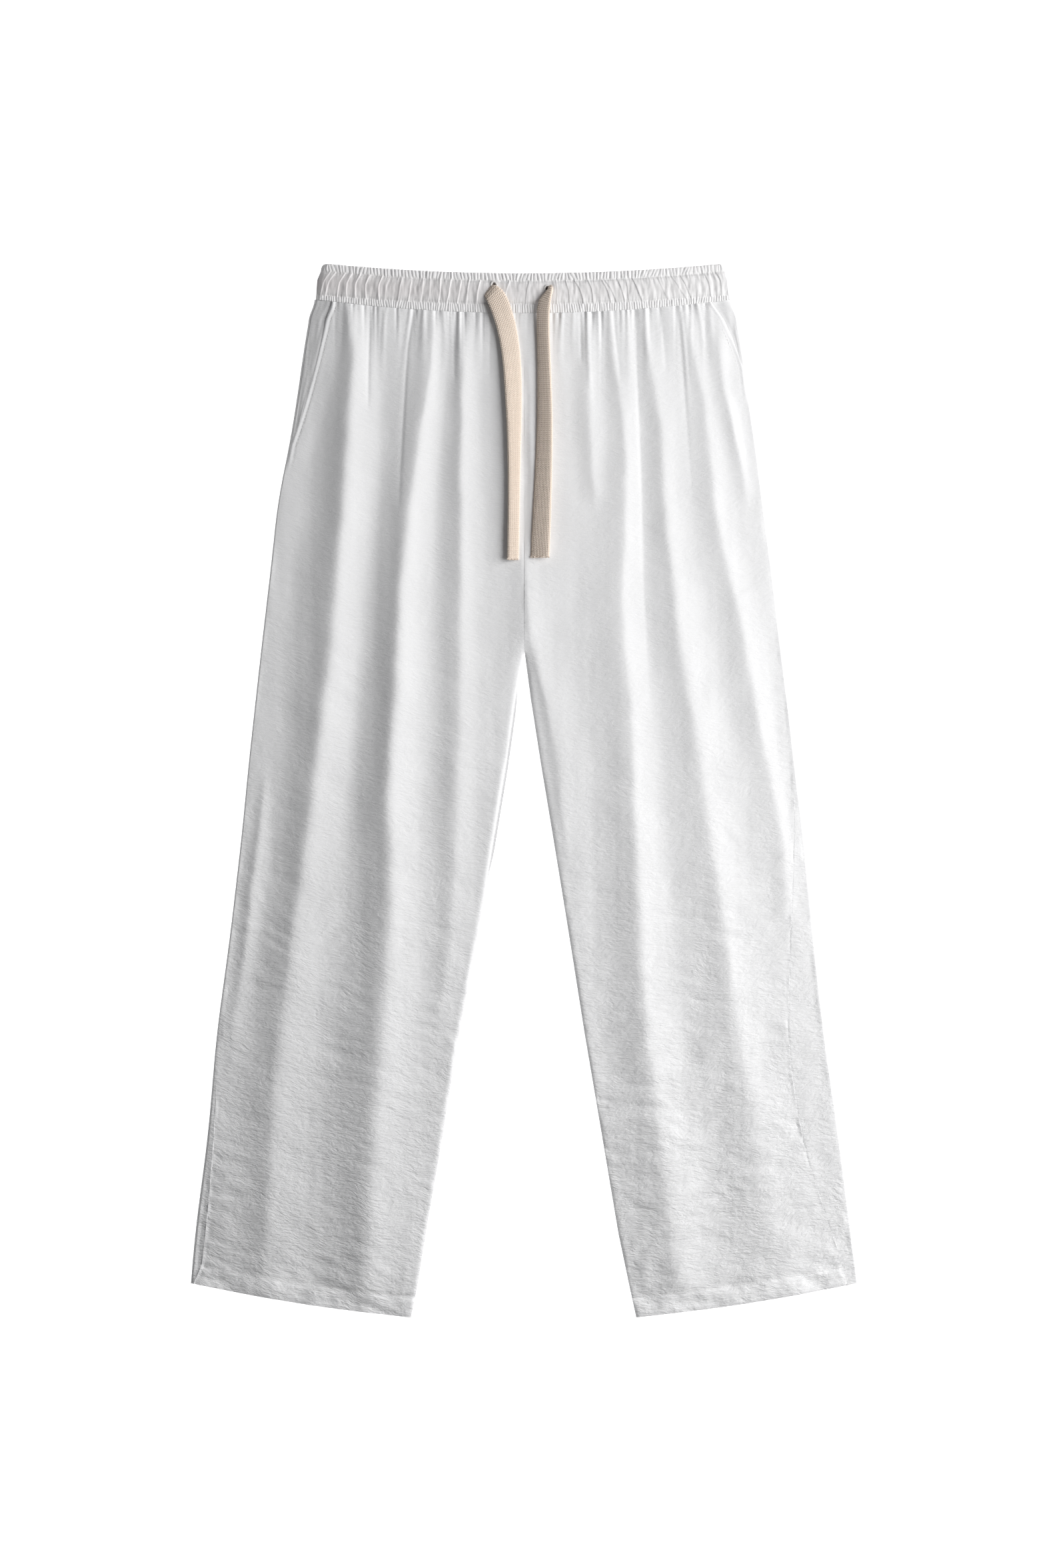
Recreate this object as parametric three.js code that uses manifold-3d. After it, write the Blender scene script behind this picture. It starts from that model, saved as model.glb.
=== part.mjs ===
// Relaxed-fit drawstring trousers, lying flat with the front up. Millimetres.
// +Y runs from the hems to the waist, +X to the wearer's left, +Z up. The origin is at the
// middle of the outline, on the surface that the trousers lie on.
// Places across the cloth are given as "out": the distance from the centre seam to the side.

import * as THREE from "three";
import Module from "manifold-3d";
import { mergeVertices } from "three/addons/utils/BufferGeometryUtils.js";

// Driving dimensions
const WALL = 1.2; // cloth, seam allowance and crinkle together
const HOLLOW = 0.8; // air between the front and back layers
const SEAM_GAP = 0.3; // between two pieces that are sewn together
const LAID_HEIGHT = 2 * WALL + HOLLOW;
const EDGE_RADIUS = LAID_HEIGHT / 2; // the cloth turns over at the side

const WAIST_HALF = 198;
const HEADER_HALF = 192;
const WAIST_SIDE_Y = 465; // the waist seam rises from its middle to the sides
const WAIST_MIDDLE_Y = 452;
const HEM_INNER_Y = -499.5;
const HEM_SLOPE = 0.155; // the hem rises towards the side
const HEM_INNER_OUT = 107;
const HEM_OUTER_OUT = 316.5;
const CROTCH_Y = 131;
const INSEAM_LENGTH = WAIST_MIDDLE_Y - HEM_INNER_Y;

const HEM_DEPTH = 18.5;
const HEM_RAISE = 0.7;
const PUFF_RISE = 2.4; // the gathered cloth stands up under the waistband
const PUFF_LENGTH = 45;

const BACK_BAND_TOP = 3; // height of the waistband's back layer
const BAND_UNDERSIDE = BACK_BAND_TOP + SEAM_GAP;
const HEADER = { waves: 68, base: 5.2, wave: 1.1, lean: 2.5 };
const CASING = { base: 6, wave: 1.8 };
const RIB_BAND = { waves: 68, base: 5.4, wave: 1.2, lean: 4 };

const EYELET = { outer: 4.4, inner: 2.4, height: 1.1, stretch: 1.25, flat: 9, sides: 20 };
const CORD = { width: 16, thickness: 3, steps: 34 };

// Half outlines of the two legs, one row for each level.
// y level, outer: side edge, inner: centre seam or inseam, roll: how far the side seam lies
// inside the edge, where the back panel comes round to the front.
const LEG_SECTIONS = {
  right: [
    { y: 465, outer: 201, inner: 0, roll: 0 },
    { y: 427, outer: 208, inner: 0, roll: 0 },
    { y: 376, outer: 215, inner: 0, roll: 0 },
    { y: 326, outer: 223, inner: 0, roll: 0 },
    { y: 275, outer: 234, inner: 0, roll: 0 },
    { y: 225, outer: 239, inner: 0, roll: 0 },
    { y: CROTCH_Y, outer: 250, inner: 0, roll: 0 },
    { y: 86, outer: 255, inner: 9, roll: 0 },
    { y: 22, outer: 262, inner: 18, roll: 0 },
    { y: -41, outer: 268, inner: 28.5, roll: 0 },
    { y: -136, outer: 279, inner: 44, roll: 0 },
    { y: -231, outer: 292, inner: 62, roll: 1 },
    { y: -325, outer: 300, inner: 77, roll: 4 },
    { y: -420, outer: 312.5, inner: 93.5, roll: 9 },
    { y: -468, outer: 316.5, inner: 101, roll: 6 },
    { y: -500, outer: 319, inner: 107.5, roll: 6 },
  ],
  left: [
    { y: 465, outer: 199, inner: 0, roll: 0 },
    { y: 427, outer: 206, inner: 0, roll: 0 },
    { y: 376, outer: 212, inner: 0, roll: 0 },
    { y: 326, outer: 220, inner: 0, roll: 0 },
    { y: 275, outer: 226, inner: 0, roll: 0 },
    { y: 225, outer: 233, inner: 0, roll: 0 },
    { y: CROTCH_Y, outer: 244, inner: 0, roll: 0 },
    { y: 86, outer: 250, inner: 6, roll: 0 },
    { y: 22, outer: 257, inner: 16, roll: 0 },
    { y: -41, outer: 265, inner: 26.5, roll: 7 },
    { y: -136, outer: 274, inner: 42, roll: 20 },
    { y: -231, outer: 284.5, inner: 57, roll: 34 },
    { y: -325, outer: 298, inner: 73, roll: 34 },
    { y: -420, outer: 310, inner: 89, roll: 16 },
    { y: -468, outer: 316.5, inner: 99, roll: 6 },
    { y: -500, outer: 319, inner: 106, roll: 4 },
  ],
};

// Long soft folds, one row each. out and rise have the values at the fold's top, middle and
// foot; near and far are its half widths towards the centre and the side.
const LONG_FOLDS = {
  right: [
    { top: 446, foot: -464, out: [164, 203, 248], rise: [5, 7, 2.5], near: 30, far: 25 },
    { top: 408, foot: -464, out: [87, 130, 150], rise: [3, 8, 6], near: 30, far: 40 },
    { top: 408, foot: -211, out: [60, 63, 81], rise: [3, 3, 0.8], near: 28, far: 22 },
    { top: -9, foot: -211, out: [248, 263, 277], rise: [0.8, 2.2, 0.8], near: 14, far: 14 },
  ],
  left: [
    { top: 180, foot: -60, out: [14, 28, 40], rise: [1, 2.5, 0.5], near: 12, far: 25 },
    { top: 408, foot: 294, out: [61, 63, 66], rise: [2.5, 2.5, 1], near: 20, far: 15 },
    { top: 408, foot: -464, out: [92, 104, 145], rise: [2.5, 5.5, 5], near: 38, far: 26 },
    { top: 446, foot: -464, out: [112, 172, 248], rise: [2, 4, 4.5], near: 28, far: 26 },
    { top: 446, foot: -110, out: [153, 202, 249], rise: [1.5, 3, 1], near: 20, far: 22 },
    { top: 408, foot: 294, out: [185, 197, 210], rise: [1.2, 2, 0.5], near: 12, far: 12 },
  ],
};

// Short gathers that run down from the waist seam: where each starts and ends, as [out, out].
const GATHERS = {
  right: [[14, 12], [28, 27], [41, 41], [51, 52], [61, 63], [78, 79], [95, 97], [107, 116],
    [118, 124], [131, 134], [146, 148], [156, 158], [169, 174], [180, 184]],
  left: [[8, 9], [22, 22], [37, 37], [47, 48], [59, 66], [70, 74], [81, 85], [97, 99],
    [114, 117], [128, 131], [147, 156], [163, 168], [175, 182]],
};
const GATHER = { top: 470, foot: 383, rise: 2.3, half: 5.5 };

// Pocket openings: depth is how far the top of the opening lies inside the edge, length runs
// down from the waist seam, hollow and ease bend the opening's line.
const POCKETS = {
  right: { depth: 16.5, length: 147, hollow: 1.6, ease: 1 },
  left: { depth: 20, length: 82, hollow: 1, ease: 1.6 },
};
const FACING = { under: 8, liftEnd: 24, fade: 22, ends: 2.5 };
const POCKET_LIFT = WALL + 2 * SEAM_GAP;

// Folds across the elastic casing, from the wearer's right: x at the upper and the lower seam.
const CASING_FOLDS = [
  [-184.5, -194], [-179.5, -189.5], [-170, -178], [-164, -169], [-156, -160.5], [-147, -150.5],
  [-135, -138.5], [-127.5, -133], [-116, -120], [-107, -110.5], [-96, -99], [-89, -92],
  [-80, -82], [-70, -74], [-60, -64], [-52.5, -55.5], [-42, -45.5], [-14, -18], [4.5, 1.5],
  [30, 30.5], [39, 42.5], [47.5, 56], [60, 65], [73, 82], [75.5, 87.5], [88, 95.5],
  [96, 99], [102.5, 112], [126, 136.5], [139.5, 153.5], [148, 158.5], [170.5, 177], [182, 187],
  [190, 192.5],
];

const EYELETS = {
  right: { x: -28.5, y: 480 },
  left: { x: 21.5, y: 476.5 },
};

// Middle lines of the drawstring's two free ends, from the eyelet to the cut end.
const CORD_ROUTES = {
  right: [
    [-28.4, 478, 10.3], [-26.4, 470, 10.2], [-24, 462, 9.9], [-20.8, 450, 9.8], [-17.6, 438, 9.6],
    [-14, 424, 9.2], [-11.6, 410, 8.6], [-10.3, 396, 7.8], [-9.7, 380, 7], [-9.5, 363, 6.5],
    [-9.4, 346, 6.1], [-9.4, 328, 5.8], [-9.5, 310, 5.6], [-9.6, 292, 5.5], [-9.8, 274, 5.4],
    [-10, 256, 5.3], [-10.2, 238, 5.3], [-10.4, 220, 5.3],
  ],
  left: [
    [21.8, 475, 10.3], [20.4, 468, 10.2], [19, 460, 9.9], [18.3, 449, 9.8], [18.2, 437, 9.6],
    [18.2, 423, 9.2], [18.3, 409, 8.6], [18.6, 395, 7.8], [19, 379, 7], [19.5, 362, 6.5],
    [19.5, 345, 6.1], [19, 328, 5.8], [18.4, 310, 5.6], [17.8, 292, 5.5], [17.1, 274, 5.4],
    [16.4, 257, 5.3], [15.8, 240, 5.3], [15.2, 222, 5.3],
  ],
};

const SIDES = { right: -1, left: 1 }; // the sign of X on each side
const WHITE_CLOTH = { color: 0xe9e6e4, roughness: 0.92, metalness: 0 };
const CREAM_BRAID = { color: 0xe6d6ca, roughness: 0.88, metalness: 0 };

const { mix, clamp } = {
  mix: THREE.MathUtils.lerp,
  clamp: THREE.MathUtils.clamp,
};

function smooth(x) {
  const t = clamp(x, 0, 1);
  return t * t * (3 - 2 * t);
}

// The value of a table's column at a level, straight between its rows, which run downwards.
function atLevel(rows, column, y) {
  const below = rows.findIndex((row) => row.y <= y);
  if (below === 0) return rows[0][column];
  if (below < 0) return rows.at(-1)[column];
  const [high, low] = [rows[below - 1], rows[below]];
  return mix(high[column], low[column], (high.y - y) / (high.y - low.y));
}

// A smooth curve through three values, at 0, a half and 1.
function through([first, middle, last], t) {
  const bend = 2 * (first - 2 * middle + last);
  return first + (last - first - bend) * t + bend * t * t;
}

function waistY(x) {
  return WAIST_MIDDLE_Y + (WAIST_SIDE_Y - WAIST_MIDDLE_Y) * (x / WAIST_HALF) ** 2;
}

function hemY(out) {
  const across = (out - HEM_INNER_OUT) / (HEM_OUTER_OUT - HEM_INNER_OUT);
  const droop = 3 * Math.sin(Math.PI * clamp(across, 0, 1));
  return HEM_INNER_Y + HEM_SLOPE * (out - HEM_INNER_OUT) - droop;
}

// The laid leg's place at "across" 0 (side edge) to 1 (centre or inseam) and "along" 0 (waist)
// to 1 (hem), with the edges of that row.
function legPlace(side, across, along) {
  const rows = LEG_SECTIONS[side];
  const outerY = mix(waistY(WAIST_HALF), hemY(HEM_OUTER_OUT), along);
  const innerY = mix(waistY(0), hemY(HEM_INNER_OUT), along);
  const outer = atLevel(rows, "outer", outerY);
  const inner = atLevel(rows, "inner", innerY);
  const waistOut = mix(WAIST_HALF, 0, across);
  const hemOut = mix(HEM_OUTER_OUT, HEM_INNER_OUT, across);
  return {
    out: mix(outer, inner, across),
    y: mix(waistY(waistOut), hemY(hemOut), along),
    outer,
    inner,
    outerY,
    innerY,
  };
}

function foldRise(fold, out, y) {
  const t = (fold.top - y) / (fold.top - fold.foot);
  if (t < -0.12 || t > 1.06) return 0;
  const within = clamp(t, 0, 1);
  const offset = out - through(fold.out, within);
  const reach = Math.abs(offset) / (offset < 0 ? fold.near : fold.far);
  if (reach >= 1) return 0;
  const ends = smooth((t + 0.12) / 0.12) * smooth((1.06 - t) / 0.06);
  return through(fold.rise, within) * Math.cos((reach * Math.PI) / 2) ** 2 * ends;
}

function gatherRise([top, foot], out, y) {
  const t = (GATHER.top - y) / (GATHER.top - GATHER.foot);
  if (t > 1) return 0;
  const reach = Math.abs(out - mix(top, foot, t)) / GATHER.half;
  if (reach >= 1) return 0;
  return GATHER.rise * (1 - t) * Math.cos((reach * Math.PI) / 2) ** 2;
}

function pocketInset(side, y) {
  const { depth, length, hollow, ease } = POCKETS[side];
  const down = (WAIST_SIDE_Y - y) / length;
  if (down >= 1) return 0;
  return depth * (1 - Math.max(down, 0) ** hollow) ** ease;
}

// How far the front panel stands up over the pocket facing that lies under its edge.
function pocketLift(side, place, along) {
  const { length } = POCKETS[side];
  const below = along * INSEAM_LENGTH - length + FACING.fade;
  const inside = place.outer - pocketInset(side, place.outerY) - place.out;
  const across = (FACING.liftEnd - inside) / (FACING.liftEnd - FACING.under - 2);
  return POCKET_LIFT * smooth(across) * smooth(2 - below / FACING.fade);
}

// Height of the laid front above the back layer's own height.
function frontRise(side, place, along) {
  const { out, y, outer, inner } = place;
  let folds = 0;
  for (const fold of LONG_FOLDS[side]) folds += foldRise(fold, out, y);
  for (const gather of GATHERS[side]) folds += gatherRise(gather, out, y);
  const belowCrotch = smooth((CROTCH_Y + 20 - y) / 40);
  const atSide = smooth((outer - out - EDGE_RADIUS) / 18);
  const atInner = smooth((out - inner) / 14);
  const puff = PUFF_RISE * Math.exp(-(along * INSEAM_LENGTH) / PUFF_LENGTH) * atSide;
  const seamDip = belowCrotch * (HOLLOW - SEAM_GAP) * (1 - smooth((out - inner) / 5));
  return folds * atSide * mix(0.3 + 0.7 * atInner, atInner, belowCrotch) + puff - seamDip;
}

// Two rows of points with any number in each, joined by one strip of triangles.
function zip(upper, lower, faces, flip) {
  let [i, j] = [0, 0];
  const [lastI, lastJ] = [upper.length - 1, lower.length - 1];
  while (i < lastI || j < lastJ) {
    const stepUpper = j === lastJ || (i < lastI && (i + 1) / lastI <= (j + 1) / lastJ);
    const third = stepUpper ? upper[i + 1] : lower[j + 1];
    faces.push(...(flip ? [upper[i], third, lower[j]] : [upper[i], lower[j], third]));
    if (stepUpper) i += 1;
    else j += 1;
  }
}

// A closed wall between an upper and a lower skin. Each skin is a list of rows from the waist
// down, and each row runs towards +X.
function wallGeometry(upperSkin, lowerSkin) {
  const positions = [];
  const faces = [];
  const number = (rows) =>
    rows.map((row) => row.map(([x, y, z]) => positions.push(x, y, z) / 3 - 1));
  const upper = number(upperSkin);
  const lower = number(lowerSkin);
  for (let row = 1; row < upper.length; row += 1) {
    zip(upper[row - 1], upper[row], faces, false);
    zip(lower[row - 1], lower[row], faces, true);
  }
  const rim = (rows) => [
    ...rows.at(-1),
    ...rows.slice(0, -1).reverse().map((row) => row.at(-1)),
    ...rows[0].slice(0, -1).reverse(),
    ...rows.slice(1, -1).map((row) => row[0]),
  ];
  const [upperRim, lowerRim] = [rim(upper), rim(lower)];
  upperRim.forEach((corner, k) => {
    const next = (k + 1) % upperRim.length;
    faces.push(lowerRim[k], lowerRim[next], upperRim[next]);
    faces.push(lowerRim[k], upperRim[next], corner);
  });
  const geometry = new THREE.BufferGeometry();
  geometry.setAttribute("position", new THREE.Float32BufferAttribute(positions, 3));
  geometry.setIndex(faces);
  geometry.computeVertexNormals();
  return geometry;
}

// Rows given from the side to the centre, put in the order that wallGeometry wants.
function towardsPlusX(side, rows) {
  return side === "left" ? rows.map((row) => [...row].reverse()) : rows;
}

function lowered(rows, drop) {
  return rows.map((row) => row.map(([x, y, z]) => [x, y, z - drop]));
}

// Distances down the leg of the rows of the front panels: close under the waistband, then wide,
// with a step where the hem is turned up.
const FINE_ROWS = [0, 14, 30, 50, 72];
const WIDE_ROWS = [
  100, 135, 175, 220, 270, WAIST_MIDDLE_Y - CROTCH_Y, 380, 445, 520, 600, 690, 780, 870,
  INSEAM_LENGTH - HEM_DEPTH - 0.7, INSEAM_LENGTH - HEM_DEPTH, INSEAM_LENGTH,
];
const FINE_COLUMNS = 52;
const WIDE_COLUMNS = 26;
const BACK_COLUMNS = [0.2, 0.4, 0.6, 0.8, 1]; // shares of the way in from the side

function frontPanel(side) {
  const sign = SIDES[side];
  const row = (distance, columns) => {
    const along = distance / INSEAM_LENGTH;
    const { outer, inner, outerY, innerY } = legPlace(side, 0, along);
    const roll = atLevel(LEG_SECTIONS[side], "roll", outerY);
    const width = outer - inner;
    const seam = Math.max(EDGE_RADIUS + roll + SEAM_GAP, pocketInset(side, outerY));
    const first = seam / width;
    const last = 1 - (innerY > CROTCH_Y - 1 ? SEAM_GAP / 2 : 0) / width;
    const hem = distance >= INSEAM_LENGTH - HEM_DEPTH ? HEM_RAISE : 0;
    return Array.from({ length: columns + 1 }, (_, k) => {
      const place = legPlace(side, mix(first, last, k / columns), along);
      const lift = pocketLift(side, place, along) + hem;
      return [sign * place.out, place.y, LAID_HEIGHT + frontRise(side, place, along) + lift];
    });
  };
  const rows = [
    ...FINE_ROWS.map((distance) => row(distance, FINE_COLUMNS)),
    ...WIDE_ROWS.map((distance) => row(distance, WIDE_COLUMNS)),
  ];
  const top = towardsPlusX(side, rows);
  return wallGeometry(top, lowered(top, WALL));
}

// The back panel lies flat, turns over at the side and reaches the side seam on the front.
function backPanel(side) {
  const sign = SIDES[side];
  const distances = [...FINE_ROWS.filter((_, k) => k % 2 === 0), ...WIDE_ROWS];
  const inside = [];
  const outside = [];
  for (const distance of distances) {
    const along = distance / INSEAM_LENGTH;
    const { outer, inner, outerY, innerY } = legPlace(side, 0, along);
    const width = outer - inner;
    const roll = atLevel(LEG_SECTIONS[side], "roll", outerY);
    const put = (skin, across, z) => {
      const place = legPlace(side, across, along);
      skin.push([sign * place.out, place.y, z]);
    };
    const [skinIn, skinOut] = [[], []];
    const seam = EDGE_RADIUS + roll;
    for (const part of [0, 0.5]) {
      const across = mix(seam, EDGE_RADIUS, part) / width;
      const rise = frontRise(side, legPlace(side, across, along), along);
      put(skinOut, across, LAID_HEIGHT + rise);
      put(skinIn, across, LAID_HEIGHT + rise - WALL);
    }
    for (let turn = 0; turn <= 4; turn += 1) {
      const angle = (turn * Math.PI) / 4;
      const step = (radius) => (EDGE_RADIUS - radius * Math.sin(angle)) / width;
      put(skinOut, step(EDGE_RADIUS), EDGE_RADIUS * (1 + Math.cos(angle)));
      put(skinIn, step(EDGE_RADIUS - WALL), EDGE_RADIUS + (EDGE_RADIUS - WALL) * Math.cos(angle));
    }
    const innerEnd = 1 - (innerY > CROTCH_Y - 1 ? SEAM_GAP / 2 : 0) / width;
    for (const part of BACK_COLUMNS) {
      put(skinOut, mix(EDGE_RADIUS / width, innerEnd, part), 0);
      put(skinIn, mix(EDGE_RADIUS / width, innerEnd, part), WALL);
    }
    inside.push(skinIn);
    outside.push(skinOut);
  }
  return wallGeometry(towardsPlusX(side, inside), towardsPlusX(side, outside));
}

// The pocket's facing shows outside the opening and runs a little way under the front panel.
function pocketFacing(side) {
  const sign = SIDES[side];
  const { length } = POCKETS[side];
  const rowCount = 9;
  const rows = [];
  for (let row = 0; row <= rowCount; row += 1) {
    const along = ((length - FACING.ends) * (row / rowCount)) / INSEAM_LENGTH;
    const { outer, outerY } = legPlace(side, 0, along);
    const from = EDGE_RADIUS + 2 * SEAM_GAP;
    const to = Math.max(pocketInset(side, outerY), from) + FACING.under;
    rows.push([0, 0.5, 1].map((part) => {
      const place = legPlace(side, mix(from, to, part) / outer, along);
      return [sign * place.out, place.y, LAID_HEIGHT];
    }));
  }
  const top = towardsPlusX(side, rows);
  return wallGeometry(top, lowered(top, WALL));
}

// The waistband's lines across the front, from its top edge to the waist seam.
const bandCurve = (middle, rise, half) => (x) => middle + rise * (x / half) ** 2;
const BAND_LINES = {
  top: bandCurve(490, 9.5, HEADER_HALF),
  header: bandCurve(482.4, 9.5, HEADER_HALF),
  casing: bandCurve(460.8, 9, WAIST_HALF),
};

// A strip of the waistband between two lines. Each column has x at its top and its foot and a
// height; rows are fractions of the way down with the share of the height that they keep.
function waistStrip(topLine, footLine, columns, rows, flatten = () => 1) {
  const upper = rows.map(({ down, share }) =>
    columns.map(({ top, foot, base, wave }) => {
      const x = mix(top, foot, down);
      const y = mix(topLine(top), footLine(foot), down);
      const height = base * share + wave * flatten(x, y);
      return [x, y, BAND_UNDERSIDE + height - BAND_UNDERSIDE * share];
    }));
  const lower = upper.map((row) => row.map(([x, y]) => [x, y, BAND_UNDERSIDE]));
  return wallGeometry(upper, lower);
}

// Evenly spaced ridges that lean outwards, with a little difference from one to the next.
function ribColumns({ waves, base, wave, lean }, topHalf, footHalf) {
  const columns = [];
  for (let k = 0; k <= 2 * waves; k += 1) {
    const at = (k / waves) - 1;
    const uneven = 1 + 0.3 * Math.sin(k * 2.4) * Math.cos(k * 0.7);
    const slant = lean * Math.sin(Math.PI * at) * 0.5;
    columns.push({
      top: topHalf * at - slant,
      foot: footHalf * at + slant,
      base,
      wave: k % 2 === 1 ? wave * uneven : 0,
    });
  }
  return columns;
}

function casingColumns() {
  const edges = [[-193.5, -198], ...CASING_FOLDS, [193.5, 197.5]];
  const columns = [];
  edges.forEach(([top, foot], k) => {
    const isEdge = k === 0 || k === edges.length - 1;
    columns.push({ top, foot, base: CASING.base, wave: isEdge ? 0 : CASING.wave });
    if (k === edges.length - 1) return;
    const [nextTop, nextFoot] = edges[k + 1];
    for (const [part, share] of [[0.25, 0.5], [0.5, 0], [0.75, 0.5]]) {
      columns.push({
        top: mix(top, nextTop, part),
        foot: mix(foot, nextFoot, part),
        base: CASING.base,
        wave: CASING.wave * share,
      });
    }
  });
  return columns;
}

function nearEyelet(x, y) {
  const distances = Object.values(EYELETS).map((e) => Math.hypot(x - e.x, y - e.y));
  return Math.min(...distances);
}

const wasm = await Module();
wasm.setup();

function asSolid(geometry) {
  const bare = geometry.clone();
  bare.deleteAttribute("normal");
  bare.deleteAttribute("uv");
  const merged = mergeVertices(bare, 1e-4);
  return new wasm.Manifold(new wasm.Mesh({
    numProp: 3,
    vertProperties: merged.attributes.position.array,
    triVerts: new Uint32Array(merged.index.array),
  }));
}

function asGeometry(solid) {
  const mesh = solid.getMesh();
  const geometry = new THREE.BufferGeometry();
  geometry.setAttribute("position", new THREE.BufferAttribute(mesh.vertProperties, 3));
  geometry.setIndex(new THREE.BufferAttribute(mesh.triVerts, 1));
  geometry.computeVertexNormals();
  return geometry;
}

// The casing's wall, with a worked hole at each eyelet for the drawstring.
function waistCasing() {
  const rows = [
    { down: 0, share: 0.72 }, { down: 0.3, share: 1 }, { down: 0.7, share: 1 }, { down: 1, share: 0.76 },
  ];
  const header = (x) => BAND_LINES.header(x) - SEAM_GAP;
  const flatten = (x, y) => smooth((nearEyelet(x, y) - EYELET.flat / 2) / EYELET.flat);
  const strip = waistStrip(header, BAND_LINES.casing, casingColumns(), rows, flatten);
  let solid = asSolid(strip);
  for (const { x, y } of Object.values(EYELETS)) {
    const hole = new THREE.CylinderGeometry(EYELET.inner, EYELET.inner, 30, EYELET.sides);
    hole.rotateX(Math.PI / 2).scale(0.8, EYELET.stretch, 1).translate(x, y, 0);
    solid = solid.subtract(asSolid(hole));
  }
  return asGeometry(solid);
}

function waistHeader() {
  const rows = [{ down: 0, share: 0.8 }, { down: 1, share: 0.8 }];
  const columns = ribColumns(HEADER, HEADER_HALF, HEADER_HALF);
  return waistStrip(BAND_LINES.top, BAND_LINES.header, columns, rows);
}

function waistRibBand() {
  const rows = [{ down: 0, share: 0.8 }, { down: 1, share: 0.8 }];
  const columns = ribColumns(RIB_BAND, WAIST_HALF - 0.5, WAIST_HALF);
  const casing = (x) => BAND_LINES.casing(x) - SEAM_GAP;
  const foot = (x) => waistY(x) + SEAM_GAP;
  return waistStrip(casing, foot, columns, rows);
}

// The back layer of the waistband lies flat, with its three rows in one plain piece.
function waistbandBack() {
  const steps = 20;
  const shape = new THREE.Shape();
  const across = (half, k) => half * ((2 * k) / steps - 1);
  for (let k = 0; k <= steps; k += 1) {
    const x = across(WAIST_HALF, k);
    if (k === 0) shape.moveTo(x, waistY(x) + 2 * SEAM_GAP);
    else shape.lineTo(x, waistY(x) + 2 * SEAM_GAP);
  }
  for (let k = steps; k >= 0; k -= 1) {
    const x = across(HEADER_HALF, k);
    shape.lineTo(x, BAND_LINES.top(x));
  }
  return new THREE.ExtrudeGeometry(shape, { depth: BACK_BAND_TOP, bevelEnabled: false });
}

// A stitched rim, round in section, stretched along the trousers' length.
function eyeletRing({ x, y }) {
  const middle = (EYELET.outer + EYELET.inner) / 2;
  const reach = (EYELET.outer - EYELET.inner) / 2;
  const profile = [];
  for (let k = 0; k <= 6; k += 1) {
    const angle = (k / 6) * 2 * Math.PI;
    const height = (EYELET.height / 2) * Math.sin(angle);
    profile.push(new THREE.Vector2(middle + reach * Math.cos(angle), height));
  }
  const seat = CASING.base + SEAM_GAP + EYELET.height / 2;
  const ring = new THREE.LatheGeometry(profile, EYELET.sides);
  return ring.rotateX(Math.PI / 2).scale(0.85, EYELET.stretch, 1).translate(x, y, seat);
}

// A flat braid with rounded edges, laid along its route.
function drawstring(route) {
  const [half, thick] = [CORD.width / 2, CORD.thickness / 2];
  const round = thick * 0.8;
  const section = new THREE.Shape([
    [-thick, -half + round], [-thick / 2, -half], [thick / 2, -half], [thick, -half + round],
    [thick, half - round], [thick / 2, half], [-thick / 2, half], [-thick, half - round],
  ].map(([x, y]) => new THREE.Vector2(x, y)));
  const path = new THREE.CatmullRomCurve3(route.map((point) => new THREE.Vector3(...point)));
  return new THREE.ExtrudeGeometry(section, { steps: CORD.steps, extrudePath: path });
}

const trousers = new THREE.Group();

function addPiece(name, geometry, finish) {
  const piece = new THREE.Mesh(geometry, new THREE.MeshStandardMaterial(finish));
  piece.name = name;
  trousers.add(piece);
}

for (const side of Object.keys(SIDES)) {
  addPiece(`front_${side}`, frontPanel(side), WHITE_CLOTH);
  addPiece(`back_${side}`, backPanel(side), WHITE_CLOTH);
  addPiece(`pocket_facing_${side}`, pocketFacing(side), WHITE_CLOTH);
  addPiece(`eyelet_${side}`, eyeletRing(EYELETS[side]), WHITE_CLOTH);
  addPiece(`drawstring_${side}`, drawstring(CORD_ROUTES[side]), CREAM_BRAID);
}
addPiece("waist_header_front", waistHeader(), WHITE_CLOTH);
addPiece("waist_casing_front", waistCasing(), WHITE_CLOTH);
addPiece("waist_band_front", waistRibBand(), WHITE_CLOTH);
addPiece("waistband_back", waistbandBack(), WHITE_CLOTH);

export default trousers;
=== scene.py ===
"""Relaxed-fit drawstring trousers, laid flat: cloth shells, braided cord, stitches and light.

Sizes are millimetres in the tables and metres in Blender. +Y runs to the waist, +Z is up.
"out" is the distance across the cloth from the centre seam towards the side seam.
"""

import math

import bpy
import numpy as np
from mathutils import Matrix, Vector


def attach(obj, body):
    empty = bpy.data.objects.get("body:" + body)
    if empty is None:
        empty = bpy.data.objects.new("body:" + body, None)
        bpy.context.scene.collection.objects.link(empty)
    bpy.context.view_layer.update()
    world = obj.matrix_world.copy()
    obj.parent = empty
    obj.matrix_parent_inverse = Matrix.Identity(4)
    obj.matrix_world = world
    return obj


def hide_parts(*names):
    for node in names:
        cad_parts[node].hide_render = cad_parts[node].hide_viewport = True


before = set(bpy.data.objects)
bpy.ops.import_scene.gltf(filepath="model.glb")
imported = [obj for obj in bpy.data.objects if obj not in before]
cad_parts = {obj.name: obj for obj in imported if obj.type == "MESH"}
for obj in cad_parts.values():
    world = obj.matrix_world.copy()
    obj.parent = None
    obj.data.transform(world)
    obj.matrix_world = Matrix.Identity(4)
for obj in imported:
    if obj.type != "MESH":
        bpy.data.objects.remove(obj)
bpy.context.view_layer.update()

MM = 0.001
SIDES = {"right": -1, "left": 1}  # the wearer's side, and the sign of X there

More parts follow.
